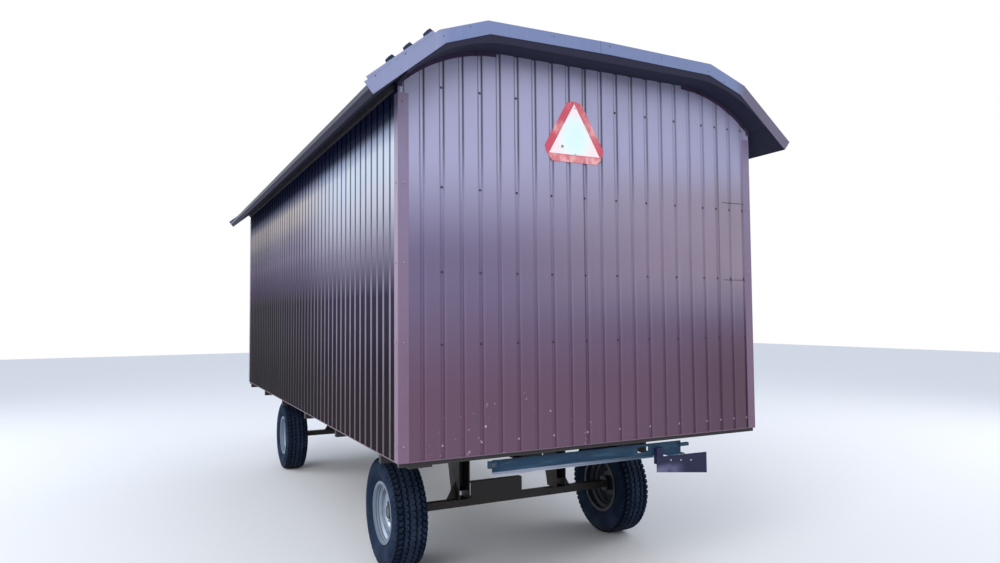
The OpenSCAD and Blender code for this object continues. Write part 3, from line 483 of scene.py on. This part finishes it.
def foilPaint(name, base, patch, patchAmount, centreGlare=None):
    # retroreflecting foil: tiny cells and larger faded patches; the last tone, when given, is a painted glare
    # in the middle of the centre, and the foil has a painted glow
    p = Paint(name)
    look = foilLook
    cells = p.cells(0.004)
    x, z = p.axis("X") - sign["x"], p.axis("Z") - sign["z"]
    faded = p.noise(0.07, (1.0, 1.0, 1.3), 4.0).between(0.46, 0.62)
    if centreGlare:
        middle = (x * x + z * z * 0.6) ** 0.5
        colour = p.mix(base, patch, middle.between(*look["coreOut"]))
        colour = p.mix(colour, centreGlare, middle.between(*look["coreIn"]))
        colour = p.mix(colour, patch, (faded * patchAmount).clamp())
    else:
        bottom = z.between(*look["bottom"])
        upperRight = x.between(*look["rightAcross"]) * z.between(*look["rightHeights"])
        leftPatch = x.between(*look["leftAcross"]) * z.line(*look["leftHeight"])
        pale = (bottom * 0.75 + upperRight * 0.55 + leftPatch * 0.7).clamp()
        blotch = p.noise(0.03, (1.0, 1.0, 1.5), 3.0).between(0.42, 0.62)
        colour = p.mix(base, patch, (pale * (0.45 + blotch * 0.7) + faded * patchAmount * 0.3).clamp())
        colour = p.mix(colour, look["stain"], (bottom * x.line(*look["stainAt"]) * blotch).clamp())
        streak = p.noise(0.012, (1.0, 1.0, 4.0), 3.0).between(0.55, 0.7)
        colour = p.mix(colour, look["scratch"], (upperRight * streak * 0.8).clamp())
    colour = p.mix(colour, p.scaled(colour, 0.8), cells.between(0.3, 0.6) * 0.3)
    # painted glow: the foil gives off its own colour at a quarter strength
    return p.finish(colour=colour, rough=0.3 + faded * 0.2, normal=p.bump(cells, 0.0001), coat=0.3,
                    coatRough=0.2, glow=colour, glowStrength=0.25)


sign = {"x": -0.152, "z": 2.73315, "inner": 0.354, "border": 0.046, "cut": 0.102, "bend": 0.012,
        "bendAt": 0.25, "gap": 0.0006, "stripThick": 0.0014, "stripEdge": 0.0008, "centreThick": 0.0009,
        "centreEdge": 0.0004, "lift": 0.0002, "face": hut["rear"] - 0.002}
alongX, alongY, alongBoth = (14.0, 1.0, 1.0), (1.0, 14.0, 1.0), (14.0, 14.0, 1.0)
doorGroove = 0.4 - hut["groovePitch"] / 2
# each finish: how the names of the solids that wear it start, its painter and the painter's settings
recipes = {
    "endSheet": (("rear_cladding", "front_cladding"), endPaint, endLook, hut["left"] + hut["firstGroove"]),
    "doorSheet": ("door_leaf", endPaint, {**endLook, "edges": []}, doorGroove),
    "sideSheet": (("left_cladding", "right_cladding"), sidePaint, sideLook, hut["rear"] + hut["firstGroove"]),
    "roofSheet": ("roof_sheet", roofPaint, roofLook),
    "cornerTrim": (("corner_trims", "door_frame"), trimPaint, (0.2, 0.108, 0.185), (0.255, 0.205, 0.345)),
    "flashing": ("verge", trimPaint, (0.15, 0.165, 0.3), (0.18, 0.235, 0.45), (0.27, 0.3, 0.5),
                 (0.125, 0.105, 0.19)),
    "eaveFlashing": (("eave_left", "eave_right"), trimPaint, (0.03, 0.026, 0.05), (0.035, 0.035, 0.07), None,
                     None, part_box("eave_left")[0][2]),
    # painted shade under the eaves: the gable strips and the eave batten are darkened, and the roof deck's
    # underside is painted near black
    "gableStrip": ("gable_strip", boardPaint, (0.055, 0.03, 0.085), (0.03, 0.018, 0.05), 0.4, "X", alongX),
    "eaveTimber": ("eave_batten", boardPaint, (0.05, 0.045, 0.055), (0.022, 0.02, 0.03), 0.9, "Y", alongY),
    "wallTimber": (("rear_wall", "front_wall", "left_wall", "right_wall"), boardPaint, (0.45, 0.33, 0.22),
                   (0.30, 0.2, 0.12), 0.14, "Z", alongBoth),
    "floorTimber": ("floor", boardPaint, (0.20, 0.155, 0.115), (0.10, 0.075, 0.055), 0.16, "X", alongY),
    "soffit": ("roof_deck", boardPaint, (0.011, 0.012, 0.045), (0.006, 0.007, 0.026), 0.12, "Y", alongX),
    "chassis": (("chassis_rails", "cross_members", "rear_axle", "rear_legs", "front_axle", "front_legs",
                 "front_subframe", "turntable", "drawbar"),
                steelPaint, (0.018, 0.016, 0.018), (0.06, 0.035, 0.022), 0.6),
    "barSteel": ("rear_bar", barPaint, barLook),
    "plateSteel": ("tail_plate", platePaint, plateLook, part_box("tail_plate")[1][0]),
    "handleSteel": ("door_handle", steelPaint, (0.07, 0.07, 0.08), (0.18, 0.17, 0.16), 0.25, 0.35),
    "rimSilver": ("rim", rimPaint, rimLook),
    "tyreRubber": ("tyre", rubberPaint, rubberLook),
    "hubPaint": ((), steelPaint, (0.03, 0.04, 0.055), (0.09, 0.08, 0.075), 0.5, 0.45),
    "nutZinc": ((), steelPaint, (0.42, 0.45, 0.48), (0.22, 0.2, 0.18), 0.5, 0.35),
    "screwHead": ((), steelPaint, (0.055, 0.036, 0.05), (0.16, 0.13, 0.14), 0.3, 0.4),
    "lowScrew": ((), steelPaint, (0.42, 0.36, 0.38), (0.12, 0.09, 0.1), 0.5, 0.4),
    "signScrew": ((), steelPaint, (0.26, 0.32, 0.34), (0.14, 0.13, 0.12), 0.4, 0.4),
    "ribEnd": ((), rubberPaint, rubberLook),
    "seamShade": ((), trimPaint, (0.05, 0.03, 0.05), (0.06, 0.05, 0.08)),
    "footEdge": ((), trimPaint, (0.17, 0.1, 0.15), (0.2, 0.15, 0.2)),
    "redFoil": ("triangle_border", foilPaint, (0.56, 0.06, 0.11), (0.82, 0.42, 0.42), 0.5),
    "whiteFoil": ("triangle_centre", foilPaint, (0.85, 0.93, 0.93), (0.94, 0.8, 0.82), 0.1,
                  (0.7, 0.93, 0.92)),
}
finishes = {}
for finish, (wearers, paint, *settings) in recipes.items():
    finishes[finish] = paint(finish, *settings)
    for name, node in nodes.items():
        if name.startswith(wearers):
            for place in node.material_slots:
                place.material = finishes[finish]
print("finishes set:", len(finishes))


# shapes
def gableHeight(x):
    # level in the middle, then rounded off towards the side walls by an arc of archRadius
    past = np.clip(np.abs(x) - hut["archHalf"], 0.0, None)
    return hut["gableTop"] - hut["archRadius"] + np.sqrt(hut["archRadius"] ** 2 - past ** 2)


def turned(centres, out, profile, sides):
    # a ring of radius r at height h along out: centre + h*out + r*(cos a*u + sin a*v), capped at both ends
    centres = np.atleast_2d(np.asarray(centres, float))
    out = np.broadcast_to(np.asarray(out, float), centres.shape)
    out = out / np.linalg.norm(out, axis=1)[:, None]
    helper = np.where(np.abs(out[:, 2:]) > 0.9, (1.0, 0.0, 0.0), (0.0, 0.0, 1.0))
    u = np.cross(helper, out)
    u = u / np.linalg.norm(u, axis=1)[:, None]
    v = np.cross(out, u)
    angle = 2 * np.pi * np.arange(sides) / sides
    circle = np.cos(angle)[None, :, None] * u[:, None] + np.sin(angle)[None, :, None] * v[:, None]
    profile = np.asarray(profile, float)
    points = (centres[:, None, None] + profile[None, :, None, :1] * out[:, None, None]
              + profile[None, :, None, 1:] * circle[:, None])
    return gridFaces(points)


def gridFaces(points):
    # points is (copies, rings, sides, 3); faces join neighbours round each ring and from ring to ring
    copies, rings, sides, _ = points.shape
    index = np.arange(copies * rings * sides).reshape(copies, rings, sides)
    onward = np.roll(index, -1, axis=2)
    quads = np.stack([index[:, :-1], onward[:, :-1], onward[:, 1:], index[:, 1:]], -1).reshape(-1, 4)
    return points.reshape(-1, 3), quads.tolist() + index[:, 0, ::-1].tolist() + index[:, -1].tolist()


def plate(outline, origin, across, up, thickness, edge=0.0):
    # an outline in the plane of across and up, thickened towards across x up, its rim drawn in by edge
    outline = np.asarray(outline, float)
    across, up = np.asarray(across, float), np.asarray(up, float)
    out = np.cross(across, up)
    ahead = np.roll(outline, -1, 0) - outline
    normal = np.stack([ahead[:, 1], -ahead[:, 0]], 1) / np.linalg.norm(ahead, axis=1)[:, None]
    bisector = normal + np.roll(normal, 1, 0)
    inset = outline - edge * bisector / np.maximum((bisector * normal).sum(1), 0.2)[:, None]
    rings = [(outline, 0.0), (outline, thickness - edge)] + ([(inset, thickness)] if edge else [])
    points = np.stack([np.asarray(origin) + ring[:, :1] * across + ring[:, 1:] * up + depth * out
                       for ring, depth in rings])[None]
    return gridFaces(points)


def rectangle(x0, y0, x1, y1):
    return [(x0, y0), (x1, y0), (x1, y1), (x0, y1)]


def spots(x, y, z):
    # a list of places; any of the three may be one number
    return np.stack(np.broadcast_arrays(x, y, z), 1)


def makePiece(name, shapes, finish, body="hut", smooth=False, angle=40.0):
    points, faces, start = [], [], 0
    for shapePoints, shapeFaces in shapes:
        points.append(shapePoints)
        faces += [[i + start for i in face] for face in shapeFaces]
        start += len(shapePoints)
    mesh = bpy.data.meshes.new(name)
    mesh.from_pydata(np.concatenate(points).tolist(), [], faces)
    mesh.update()
    mesh.materials.append(finishes[finish])
    piece = addObject(name, mesh)
    if smooth:
        mesh.shade_smooth()
        mesh.set_sharp_from_angle(angle=math.radians(angle))
    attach(piece, body)
    return piece


# screws of the cladding
screw = {"washer": 0.0072, "washerRise": 0.0016, "head": 0.0046, "rise": 0.0055, "sides": 8,
         "rows": [0.072, 0.608, 0.998, 1.458, 2.004], "sideTopRow": 1.88, "step": 2, "lastColumns": [18, 20],
         "belowGable": 0.05, "beforeFront": 0.1}
screwProfile = [(-0.001, screw["washer"]), (screw["washerRise"] * 0.6, screw["washer"]),
                (screw["washerRise"], screw["washer"] * 0.86), (screw["washerRise"], screw["head"]),
                (screw["rise"] * 0.85, screw["head"]), (screw["rise"], screw["head"] * 0.7)]
# areas without screws: x and height of two opposite corners
triangleArea = (-0.38, 2.55, 0.08, 3.0)
doorArea = (-0.47, 0.9, 0.47, 3.0)
grooves = hut["left"] + hut["firstGroove"] + hut["groovePitch"] * np.arange(hut["endGrooves"])


def endScrews(face, out, rows, skipped):
    # every second groove and the last two, outside the skipped area
    columns = np.concatenate([grooves[1::screw["step"]], grooves[screw["lastColumns"]]])
    x, row = [a.ravel() for a in np.meshgrid(columns, rows)]
    z = hut["foot"] + row
    x0, z0, x1, z1 = skipped
    keep = (z < gableHeight(x) - screw["belowGable"]) & ~((x > x0) & (x < x1) & (z > z0) & (z < z1))
    places = spots(x, face - out * hut["grooveDepth"], z)[keep]
    return [turned(places, (0, out, 0), screwProfile, screw["sides"])]


def sideScrews(side):
    columns = np.arange(hut["rear"] + hut["firstGroove"] + hut["groovePitch"],
                        hut["front"] - screw["beforeFront"], screw["step"] * hut["groovePitch"])
    y, row = [a.ravel() for a in np.meshgrid(columns, screw["rows"][:4] + [screw["sideTopRow"]])]
    places = spots(side * (hut["right"] - hut["grooveDepth"]), y, hut["foot"] + row)
    return [turned(places, (side, 0, 0), screwProfile, screw["sides"])]


def makeFixings(name, shapes, finish):
    return makePiece(name, shapes, finish, smooth=True)


upperRows, lowRow = screw["rows"][1:], screw["rows"][:1]
for name, rows, finish in (("wallScrews", upperRows, "screwHead"), ("footScrews", lowRow, "lowScrew")):
    makeFixings(name + "Rear", endScrews(hut["rear"], -1, rows, triangleArea), finish)
    makeFixings(name + "Front", endScrews(hut["front"], 1, rows, doorArea), finish)
makeFixings("wallScrewsLeft", sideScrews(-1), "screwHead")
makeFixings("wallScrewsRight", sideScrews(1), "screwHead")
print("wall screws placed")

# screws of the trims and flashings; trim is how far the trims and flashings stand off
trimScrew = {"heights": [0.086, 0.624, 1.043, 1.466, 1.899], "across": 0.03, "trim": 0.0015,
             "sunkRear": 0.0012, "sunkFront": 0.0005,
             "fascia": [(-1.418, 1.96), (-1.26, 2.097), (-1.05, 2.225), (-0.895, 2.303), (-0.379, 2.337),
                        (0.005, 2.342), (0.391, 2.335), (0.767, 2.302), (0.901, 2.256), (1.082, 2.208),
                        (1.437, 1.926)]}
flatHead = [(-0.0008, 0.006), (0.0006, 0.006), (0.0012, 0.0042), (0.0013, 0.002)]
rearFace = hut["rear"] - hut["vergeOut"] - trimScrew["trim"]
frontFace = hut["front"] + hut["vergeOut"] + trimScrew["trim"]


def trimScrews(end, out):
    # two columns on the end faces and two on the side faces of a pair of corner trims
    side, row = [a.ravel() for a in np.meshgrid([-1.0, 1.0], trimScrew["heights"])]
    x, z = hut["right"] + trimScrew["trim"], hut["foot"] + row
    ends = spots(side * (x - trimScrew["across"]), end + out * trimScrew["trim"], z)
    sides = spots(side * x, end - out * trimScrew["across"], z)
    return [turned(places, ways, screwProfile[3:], screw["sides"])
            for places, ways in ((ends, (0, out, 0)), (sides, spots(side, 0, 0)))]


def fasciaScrews():
    # seen from the rear, and the same turned round at the front
    x, z = np.array(trimScrew["fascia"]).T
    rear = spots(x, rearFace + trimScrew["sunkRear"], hut["foot"] + z)
    front = spots(-x, frontFace - trimScrew["sunkFront"], hut["foot"] + z)
    return [turned(places, (0, out, 0), flatHead, screw["sides"])
            for places, out in ((rear, -1), (front, 1))]


makeFixings("trimScrews", trimScrews(hut["rear"], -1) + trimScrews(hut["front"], 1), "lowScrew")
makeFixings("fasciaScrews", fasciaScrews(), "screwHead")

# the left lower slope of the roof, whose flashing stands higher and shows the ends of the roof's ribs
leftSlope = {"ribs": [-0.307, -0.184, -0.041], "foot": 0.024, "crest": 0.012, "from": 0.0722, "to": 0.106,
             "deep": 0.055, "behind": 0.002, "edge": 0.088, "tip": 0.025, "gap": 0.02, "thick": 0.0015}


def slopePlate(outline, start, thickness):
    # outlines are drawn in metres along the slope, 0 at the upper break, and over the roof's underside
    tilt = math.radians(hut["lowSlope"])
    x, z = hut["lowSlopeEnds"][0]
    return plate(outline, (-x, start, z + hut["foot"]), (math.cos(tilt), 0, math.sin(tilt)),
                 (-math.sin(tilt), 0, math.cos(tilt)), thickness)


def ribEnds(s):
    foot, crest, start = s["foot"], s["crest"], rearFace + s["behind"] + s["deep"]
    return [slopePlate([(rib - foot, s["from"]), (rib + foot, s["from"]), (rib + crest, s["to"]),
                        (rib - crest, s["to"])], start, s["deep"]) for rib in s["ribs"]]


def raisedEdge(s):
    (x0, z0), (x1, z1) = hut["lowSlopeEnds"]
    length = math.hypot(x1 - x0, z1 - z0) - s["tip"]
    strip = rectangle(-length, s["from"], -s["gap"], s["edge"])
    return [slopePlate(strip, rearFace + s["thick"], s["thick"])]


# the rib ends wear the tyres' near black rubber finish: painted shade in the ribs' open ends
makePiece("ribEnds", ribEnds(leftSlope), "ribEnd")
makePiece("raisedEdge", raisedEdge(leftSlope), "flashing")
print("roof's left edge made")

# laps and seams of the sheets; edge is how far a strip's rim is drawn in
lap = {"columns": [9, 18], "beside": 0.012, "width": 0.034, "overFoot": 0.004, "underGable": 0.012,
       "thick": 0.0012, "lift": 0.0002, "edge": 0.0005}
seam = {"heights": [0.985, 1.5], "column": 18, "beside": 0.046, "short": 0.06, "high": 0.005, "edge": 0.0004}
lip = {"high": 0.005, "out": 0.0022, "edge": 0.0006, "corner": 0.061, "door": 0.459}


def rearPlate(outline, edge):
    origin = (0, hut["rear"] + lap["lift"], hut["foot"])
    return plate(outline, origin, (1, 0, 0), (0, 0, 1), lap["thick"], edge)


def lapStrips():
    # a narrow strip on the pan beside a groove, following the gable's top edge
    shapes, low = [], lap["overFoot"]
    for x in grooves[lap["columns"]] + lap["beside"]:
        x1 = x + lap["width"]
        top, top1 = gableHeight(np.array([x, x1])) - lap["underGable"] - hut["foot"]
        shapes.append(rearPlate([(x, low), (x1, low), (x1, top1), (x, top)], lap["edge"]))
    return shapes


def patchSeams():
    # the cut edges of the short sheets at the right corner
    x0, x1 = grooves[seam["column"]] + seam["beside"], hut["right"] - seam["short"]
    return [rearPlate(rectangle(x0, z, x1, z + seam["high"]), seam["edge"]) for z in seam["heights"]]


def footLip():
    # a folded strip along the lower edge of all four walls, open at the doorway
    rear, front, right, end = hut["rear"], hut["front"], hut["right"], hut["right"] - lip["corner"]
    length = front - rear - 2 * lip["corner"]
    # each run: its two ends along the wall, the corner it is measured from, and the way it goes
    runs = [(-end, end, (0, rear), (1, 0, 0)), (-end, -lip["door"], (0, front), (-1, 0, 0)),
            (lip["door"], end, (0, front), (-1, 0, 0)),
            (-length, 0, (-right, rear + lip["corner"]), (0, -1, 0)),
            (0, length, (right, rear + lip["corner"]), (0, 1, 0))]
    return [plate(rectangle(start, 0, stop, lip["high"]), (*place, hut["foot"]), way, (0, 0, 1), lip["out"],
                  lip["edge"]) for start, stop, place, way in runs]


makePiece("sheetLaps", lapStrips(), "endSheet")
makePiece("patchSeams", patchSeams(), "seamShade")
makePiece("footLip", footLip(), "footEdge")
print("laps and seams placed")

# warning triangle
def signPlate(outline, across, up, thick, edge):
    return plate(outline, (sign["x"], sign["face"] + sign["lift"], sign["z"]), across, up, thick, edge)


def signStrips():
    # three trapezoid strips round the centre, each from mitre to mitre with its ends cut square to the mitre
    inner, border, g = sign["inner"] / (2 * math.sqrt(3)), sign["border"], sign["gap"]
    halfInner = sign["inner"] / 2
    halfOuter = halfInner + border * math.sqrt(3)
    cut, bend, low = halfOuter - sign["cut"] - g, halfInner + sign["bend"], -inner - border * sign["bendAt"]
    outline = [(-cut, -inner - border), (cut, -inner - border), (bend, low), (halfInner - g, -inner - g),
               (-halfInner + g, -inner - g), (-bend, low)]
    turns = [math.radians(120 * turn) for turn in range(3)]
    return [signPlate(outline, (math.cos(a), 0, math.sin(a)), (-math.sin(a), 0, math.cos(a)),
                      sign["stripThick"], sign["stripEdge"]) for a in turns]


def signCentre():
    h = sign["inner"] * math.sqrt(3) / 2
    outline = [(-sign["inner"] / 2, -h / 3), (sign["inner"] / 2, -h / 3), (0, 2 * h / 3)]
    return [signPlate(outline, (1, 0, 0), (0, 0, 1), sign["centreThick"], sign["centreEdge"])]


makePiece("signStrips", signStrips(), "redFoil")
makePiece("signCentre", signCentre(), "whiteFoil")
signScrew = {"at": [((-0.239, 2.676), 1.5), ((-0.149, 2.913), 0.7), ((-0.147, 2.636), 0.6)], "sunk": 0.0008,
             "profile": [(-0.001, 0.006), (0.001, 0.006), (0.002, 0.0045), (0.0024, 0.002)]}
makeFixings("signScrews", [turned((x, sign["face"] - signScrew["sunk"], z), (0, -1, 0),
                                  np.array(signScrew["profile"]) * (1.0, size), 12)
                           for (x, z), size in signScrew["at"]], "signScrew")

# bolts and rivets of the bar and the tail plate, hinges of the door
fixing = {"tabBolt": (-0.705, -3.3487, 0.861), "rivets": [(0.535, 0.772), (0.615, 0.7645), (0.696, 0.757)],
          "plateFace": -3.3447, "hingeHeights": [1.22, 1.9, 2.58], "hinge": (-0.4085, 2.158)}
hexHead = [(-0.001, 0.011), (0.001, 0.011), (0.0012, 0.0085), (0.0062, 0.0085), (0.007, 0.0072)]
rivetHead = [(-0.001, 0.0062), (0.0008, 0.0062), (0.0022, 0.0048), (0.0028, 0.002)]
barrel = [(-0.05, 0.004), (-0.049, 0.0058), (-0.001, 0.0058), (-0.0008, 0.005), (0.0008, 0.005),
          (0.001, 0.0058), (0.049, 0.0058), (0.05, 0.004)]
rivets = [(x, fixing["plateFace"], z) for x, z in fixing["rivets"]]
hinges = [(*fixing["hinge"], z) for z in fixing["hingeHeights"]]
makePiece("tabBolt", [turned(fixing["tabBolt"], (0, -1, 0), hexHead, 6)], "handleSteel")
makeFixings("plateRivets", [turned(rivets, (0, -1, 0), rivetHead, 12)], "nutZinc")
makeFixings("doorHinges", [turned(hinges, (0, 0, 1), barrel, 16)], "handleSteel")
print("fixings placed")

# tyres: radii and half widths in metres, the bulge's sine in degrees; shares are parts of the way from
# the bead to the middle of the tread
tyre = {"radius": 0.3663, "width": 0.2348, "flange": 0.2082, "seat": 0.1915, "bead": 0.0877, "wall": 0.012,
        "shoulder": 0.034, "sideShare": 0.45, "bulge": 142.0, "bowShare": 0.24, "bowIn": 0.02,
        "crown": 0.0035, "sideRings": 9, "shoulderTo": 0.58, "shoulderRings": 7, "treadRings": 22,
        "linerIn": (0.02, 0.032), "linerKnee": 0.27}
tread = {"lugs": 57, "stepsPerLug": 12, "deep": 0.0095, "grooveAt": [0.0235, 0.062], "grooveWide": 0.0085,
         "grooveSlope": 1.7, "zigzag": 0.0055, "lugFrom": 0.074, "lugGap": 0.36, "lugSlope": 0.16,
         "lugLean": 0.4, "fadeFrom": 0.046, "fadeOver": 0.016, "slitWide": 0.2, "slitSlope": 0.12,
         "slitDeep": 0.45, "slitInside": 0.014, "grooveBand": 0.02}


def tyreSection(t):
    # half section: the side bulges as a sine from bead to shoulder, the shoulder bows over a quarter turn,
    # and the tread rises by crown towards its middle
    bead, shoulder = tyre["bead"], tyre["radius"] - tyre["shoulder"]
    share, crown = tyre["sideShare"], tyre["crown"]
    bulge = tyre["width"] / 2 - bead
    side = np.clip(t / share, 0, 1)
    over = np.clip((t - share) / (1 - share), 0, 1)
    bow = np.clip(over / tyre["bowShare"], 0, 1) * np.pi / 2
    flat = np.clip((over - tyre["bowShare"]) / (1 - tyre["bowShare"]), 0, 1)
    edge = bead + bulge * np.sin(np.radians(tyre["bulge"]))
    xTread = (edge - tyre["bowIn"] * (1 - np.cos(bow))) * (1 - flat)
    rTread = shoulder + (tyre["radius"] - crown - shoulder) * np.sin(bow) + crown * np.sin(flat * np.pi / 2)
    x = np.where(t < share, bead + bulge * np.sin(np.radians(tyre["bulge"]) * side), xTread)
    return x, np.where(t < share, tyre["flange"] + (shoulder - tyre["flange"]) * side, rTread)


def treadDepth(x, r, round01):
    # zigzag grooves round the tyre, slots between the shoulder lugs, and fine cross slits in the ribs
    phase = (round01 * tread["lugs"]) % 1.0
    zig = tread["zigzag"] * (np.abs(phase * 2 - 1) * 2 - 1)
    grooves = np.zeros_like(x + round01)
    for place in tread["grooveAt"]:
        for side in (-1, 1):
            away = np.abs(x - side * place - zig) / (tread["grooveWide"] / 2)
            grooves = np.maximum(grooves, np.clip(tread["grooveSlope"] - away, 0, 1))
    grooves = grooves * (r > tyre["radius"] - tread["grooveBand"])
    # the two rows of lugs stand half a step apart
    offset = np.where(x > 0, 0.25, 0.75)
    slot = np.abs(((round01 * tread["lugs"] + offset) % 1.0) - 0.5) * 2
    slots = np.clip((tread["lugGap"] - slot) / tread["lugSlope"], 0, 1)
    slots = slots * (np.abs(x) > tread["lugFrom"] - tread["lugLean"] * zig)
    slots = slots * np.clip((r - (tyre["radius"] - tread["fadeFrom"])) / tread["fadeOver"], 0, 1)
    slits = np.clip((tread["slitWide"] - np.abs(phase - 0.5) * 2) / tread["slitSlope"], 0, 1)
    slits = slits * tread["slitDeep"] * (np.abs(x) < tread["lugFrom"] - tread["slitInside"])
    return np.maximum(np.maximum(grooves, slots), slits) * tread["deep"]


def tyreShape(x0, y0, z0):
    # a closed section carried round the axle, with the tread sunk along the surface's own direction
    share, knee = tyre["sideShare"], tyre["shoulderTo"]
    t = np.concatenate([np.linspace(0, share, tyre["sideRings"])[:-1],
                        np.linspace(share, knee, tyre["shoulderRings"])[:-1],
                        np.linspace(knee, 1.0, tyre["treadRings"])])
    x, r = tyreSection(t)
    x = np.concatenate([-x, x[-2::-1]])
    r = np.concatenate([r, r[-2::-1]])
    steps = tread["lugs"] * tread["stepsPerLug"]
    round01 = np.arange(steps)[None] / steps
    depth = treadDepth(x[:, None], r[:, None], round01)
    run, rise = np.gradient(x), np.gradient(r)
    length = np.hypot(run, rise)
    px = x[:, None] + (rise / length)[:, None] * depth
    pr = r[:, None] - (run / length)[:, None] * depth
    # the inside, from the right bead round to the left one
    sideIn, crownIn = tyre["linerIn"]
    half, bead, seat = tyre["width"] / 2, tyre["bead"], tyre["seat"]
    liner = [(bead, seat), (bead - tyre["wall"], seat), (half - sideIn, tyre["linerKnee"]),
             (half - crownIn, tyre["radius"] - crownIn)]
    ix, ir = np.array(liner + [(-a, b) for a, b in liner[::-1]]).T
    px = np.concatenate([px, np.tile(ix[:, None], steps)])
    pr = np.concatenate([pr, np.tile(ir[:, None], steps)])
    angle = 2 * np.pi * round01
    points = np.stack([x0 + px, y0 + pr * np.cos(angle), z0 + pr * np.sin(angle)], -1)
    index = np.arange(len(px) * steps).reshape(-1, steps)
    nextRing, onward = np.roll(index, -1, 0), np.roll(index, -1, 1)
    quads = np.stack([index, onward, np.roll(nextRing, -1, 1), nextRing], -1).reshape(-1, 4)
    return points.reshape(-1, 3), quads[:, ::-1].tolist()


# wheels: profiles are height outwards and radius; track is the middle of the rims' discs
wheel = {"track": 0.878, "sides": {"rear_left": -1, "rear_right": 1, "front_left": -1, "front_right": 1},
         "nuts": 6, "nutRing": 0.08, "nutOut": 0.018,
         "cap": [(0.0195, 0.0566), (0.0205, 0.0566), (0.0448, 0.0488), (0.0545, 0.0425), (0.0548, 0.030),
                 (0.052, 0.027), (0.052, 0.004)],
         "nut": [(0.0, 0.0165), (0.002, 0.0165), (0.0022, 0.0138), (0.014, 0.0138), (0.0165, 0.0118),
                 (0.0168, 0.008), (0.022, 0.0078), (0.0225, 0.003)]}
for name, side in wheel["sides"].items():
    middle = np.mean(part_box("rim_" + name), axis=0)
    centre, out, body = (side * wheel["track"], middle[1], middle[2]), (side, 0, 0), "wheel_" + name
    rubber = makePiece("tread_" + name, [tyreShape(*centre)], "tyreRubber", body,
                       smooth=True, angle=32)
    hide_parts("tyre_" + name)
    makePiece("hubCap_" + name, [turned(centre, out, wheel["cap"], 48)], "hubPaint", body,
              smooth=True)
    spread = 2 * np.pi * np.arange(wheel["nuts"]) / wheel["nuts"]
    around = spots(side * wheel["nutOut"], wheel["nutRing"] * np.cos(spread),
                   wheel["nutRing"] * np.sin(spread))
    makePiece("wheelNuts_" + name, [turned(np.array(centre) + around, out, wheel["nut"], 12)], "nutZinc",
              body, smooth=True, angle=30)
print("tyres, caps and nuts made")

# floor, backdrop and light
studio = {"floorSize": 60.0, "floorForObject": 0.34, "floorShown": 0.86, "sky": (0.86, 0.93, 1.08),
          "horizon": (0.62, 0.64, 0.68), "skyStrength": 0.85,
          "lamps": [("keyLamp", (-7.5, -9.0, 7.5), (0.0, -1.5, 1.6), 6.0, 620.0, (1.0, 0.98, 0.96)),
                    ("sideLamp", (-9.0, 4.0, 5.0), (-1.2, 0.0, 1.6), 6.0, 330.0, (0.9, 0.95, 1.0)),
                    ("farLamp", (9.0, -3.0, 6.0), (1.0, 0.0, 1.6), 6.0, 220.0, (1.0, 0.98, 0.95))]}


def seenRays(p):
    # 1 for rays that show the background: from the camera, mirrored or passing through
    rays = [p.node("LightPath", {}, {}, "Is %s Ray" % kind) for kind in ("Camera", "Glossy", "Transmission")]
    return (rays[0] + rays[1] + rays[2]).clamp()


def layFloor(s):
    p = Paint("paleFloor")
    seen = seenRays(p)
    tint = p.mix((s["floorForObject"],) * 3, (s["floorShown"],) * 3, seen)
    material = p.finish(colour=tint, rough=0.9, gloss=0.1)
    half = s["floorSize"] / 2
    mesh = bpy.data.meshes.new("paleFloor")
    corners = [(x, y, 0.0) for x, y in rectangle(-half, -half, half, half)]
    mesh.from_pydata(corners, [], [(0, 1, 2, 3)])
    mesh.materials.append(material)
    addObject("paleFloor", mesh)


def lightStudio(s):
    world = bpy.data.worlds.new("studioSky")
    bpy.context.scene.world = world
    p = Paint("studioSky", world)
    up = p.axis("Z", "Generated")
    sky = p.mix(s["horizon"], s["sky"], up.between(-0.05, 0.45))
    seen = seenRays(p)
    light = p.node("Background", {}, {"Color": sky, "Strength": s["skyStrength"]})
    shown = p.node("Background", {}, {"Color": (1.0, 1.0, 1.0, 1.0), "Strength": 1.0})
    both = p.node("MixShader", {}, {0: seen, 1: light, 2: shown})
    p.node("OutputWorld", {}, {"Surface": both})
    for name, place, target, size, power, colour in s["lamps"]:
        data = bpy.data.lights.new(name, "AREA")
        data.size, data.energy, data.color = size, power, colour
        back = np.array(place) - np.array(target)
        back = back / np.linalg.norm(back)
        side = np.cross((0.0, 0.0, 1.0), back)
        side = side / np.linalg.norm(side)
        addObject(name, data, (side, np.cross(back, side), back), place)


layFloor(studio)
lightStudio(studio)
bpy.context.scene.view_settings.view_transform = "Standard"
print("floor and light set")
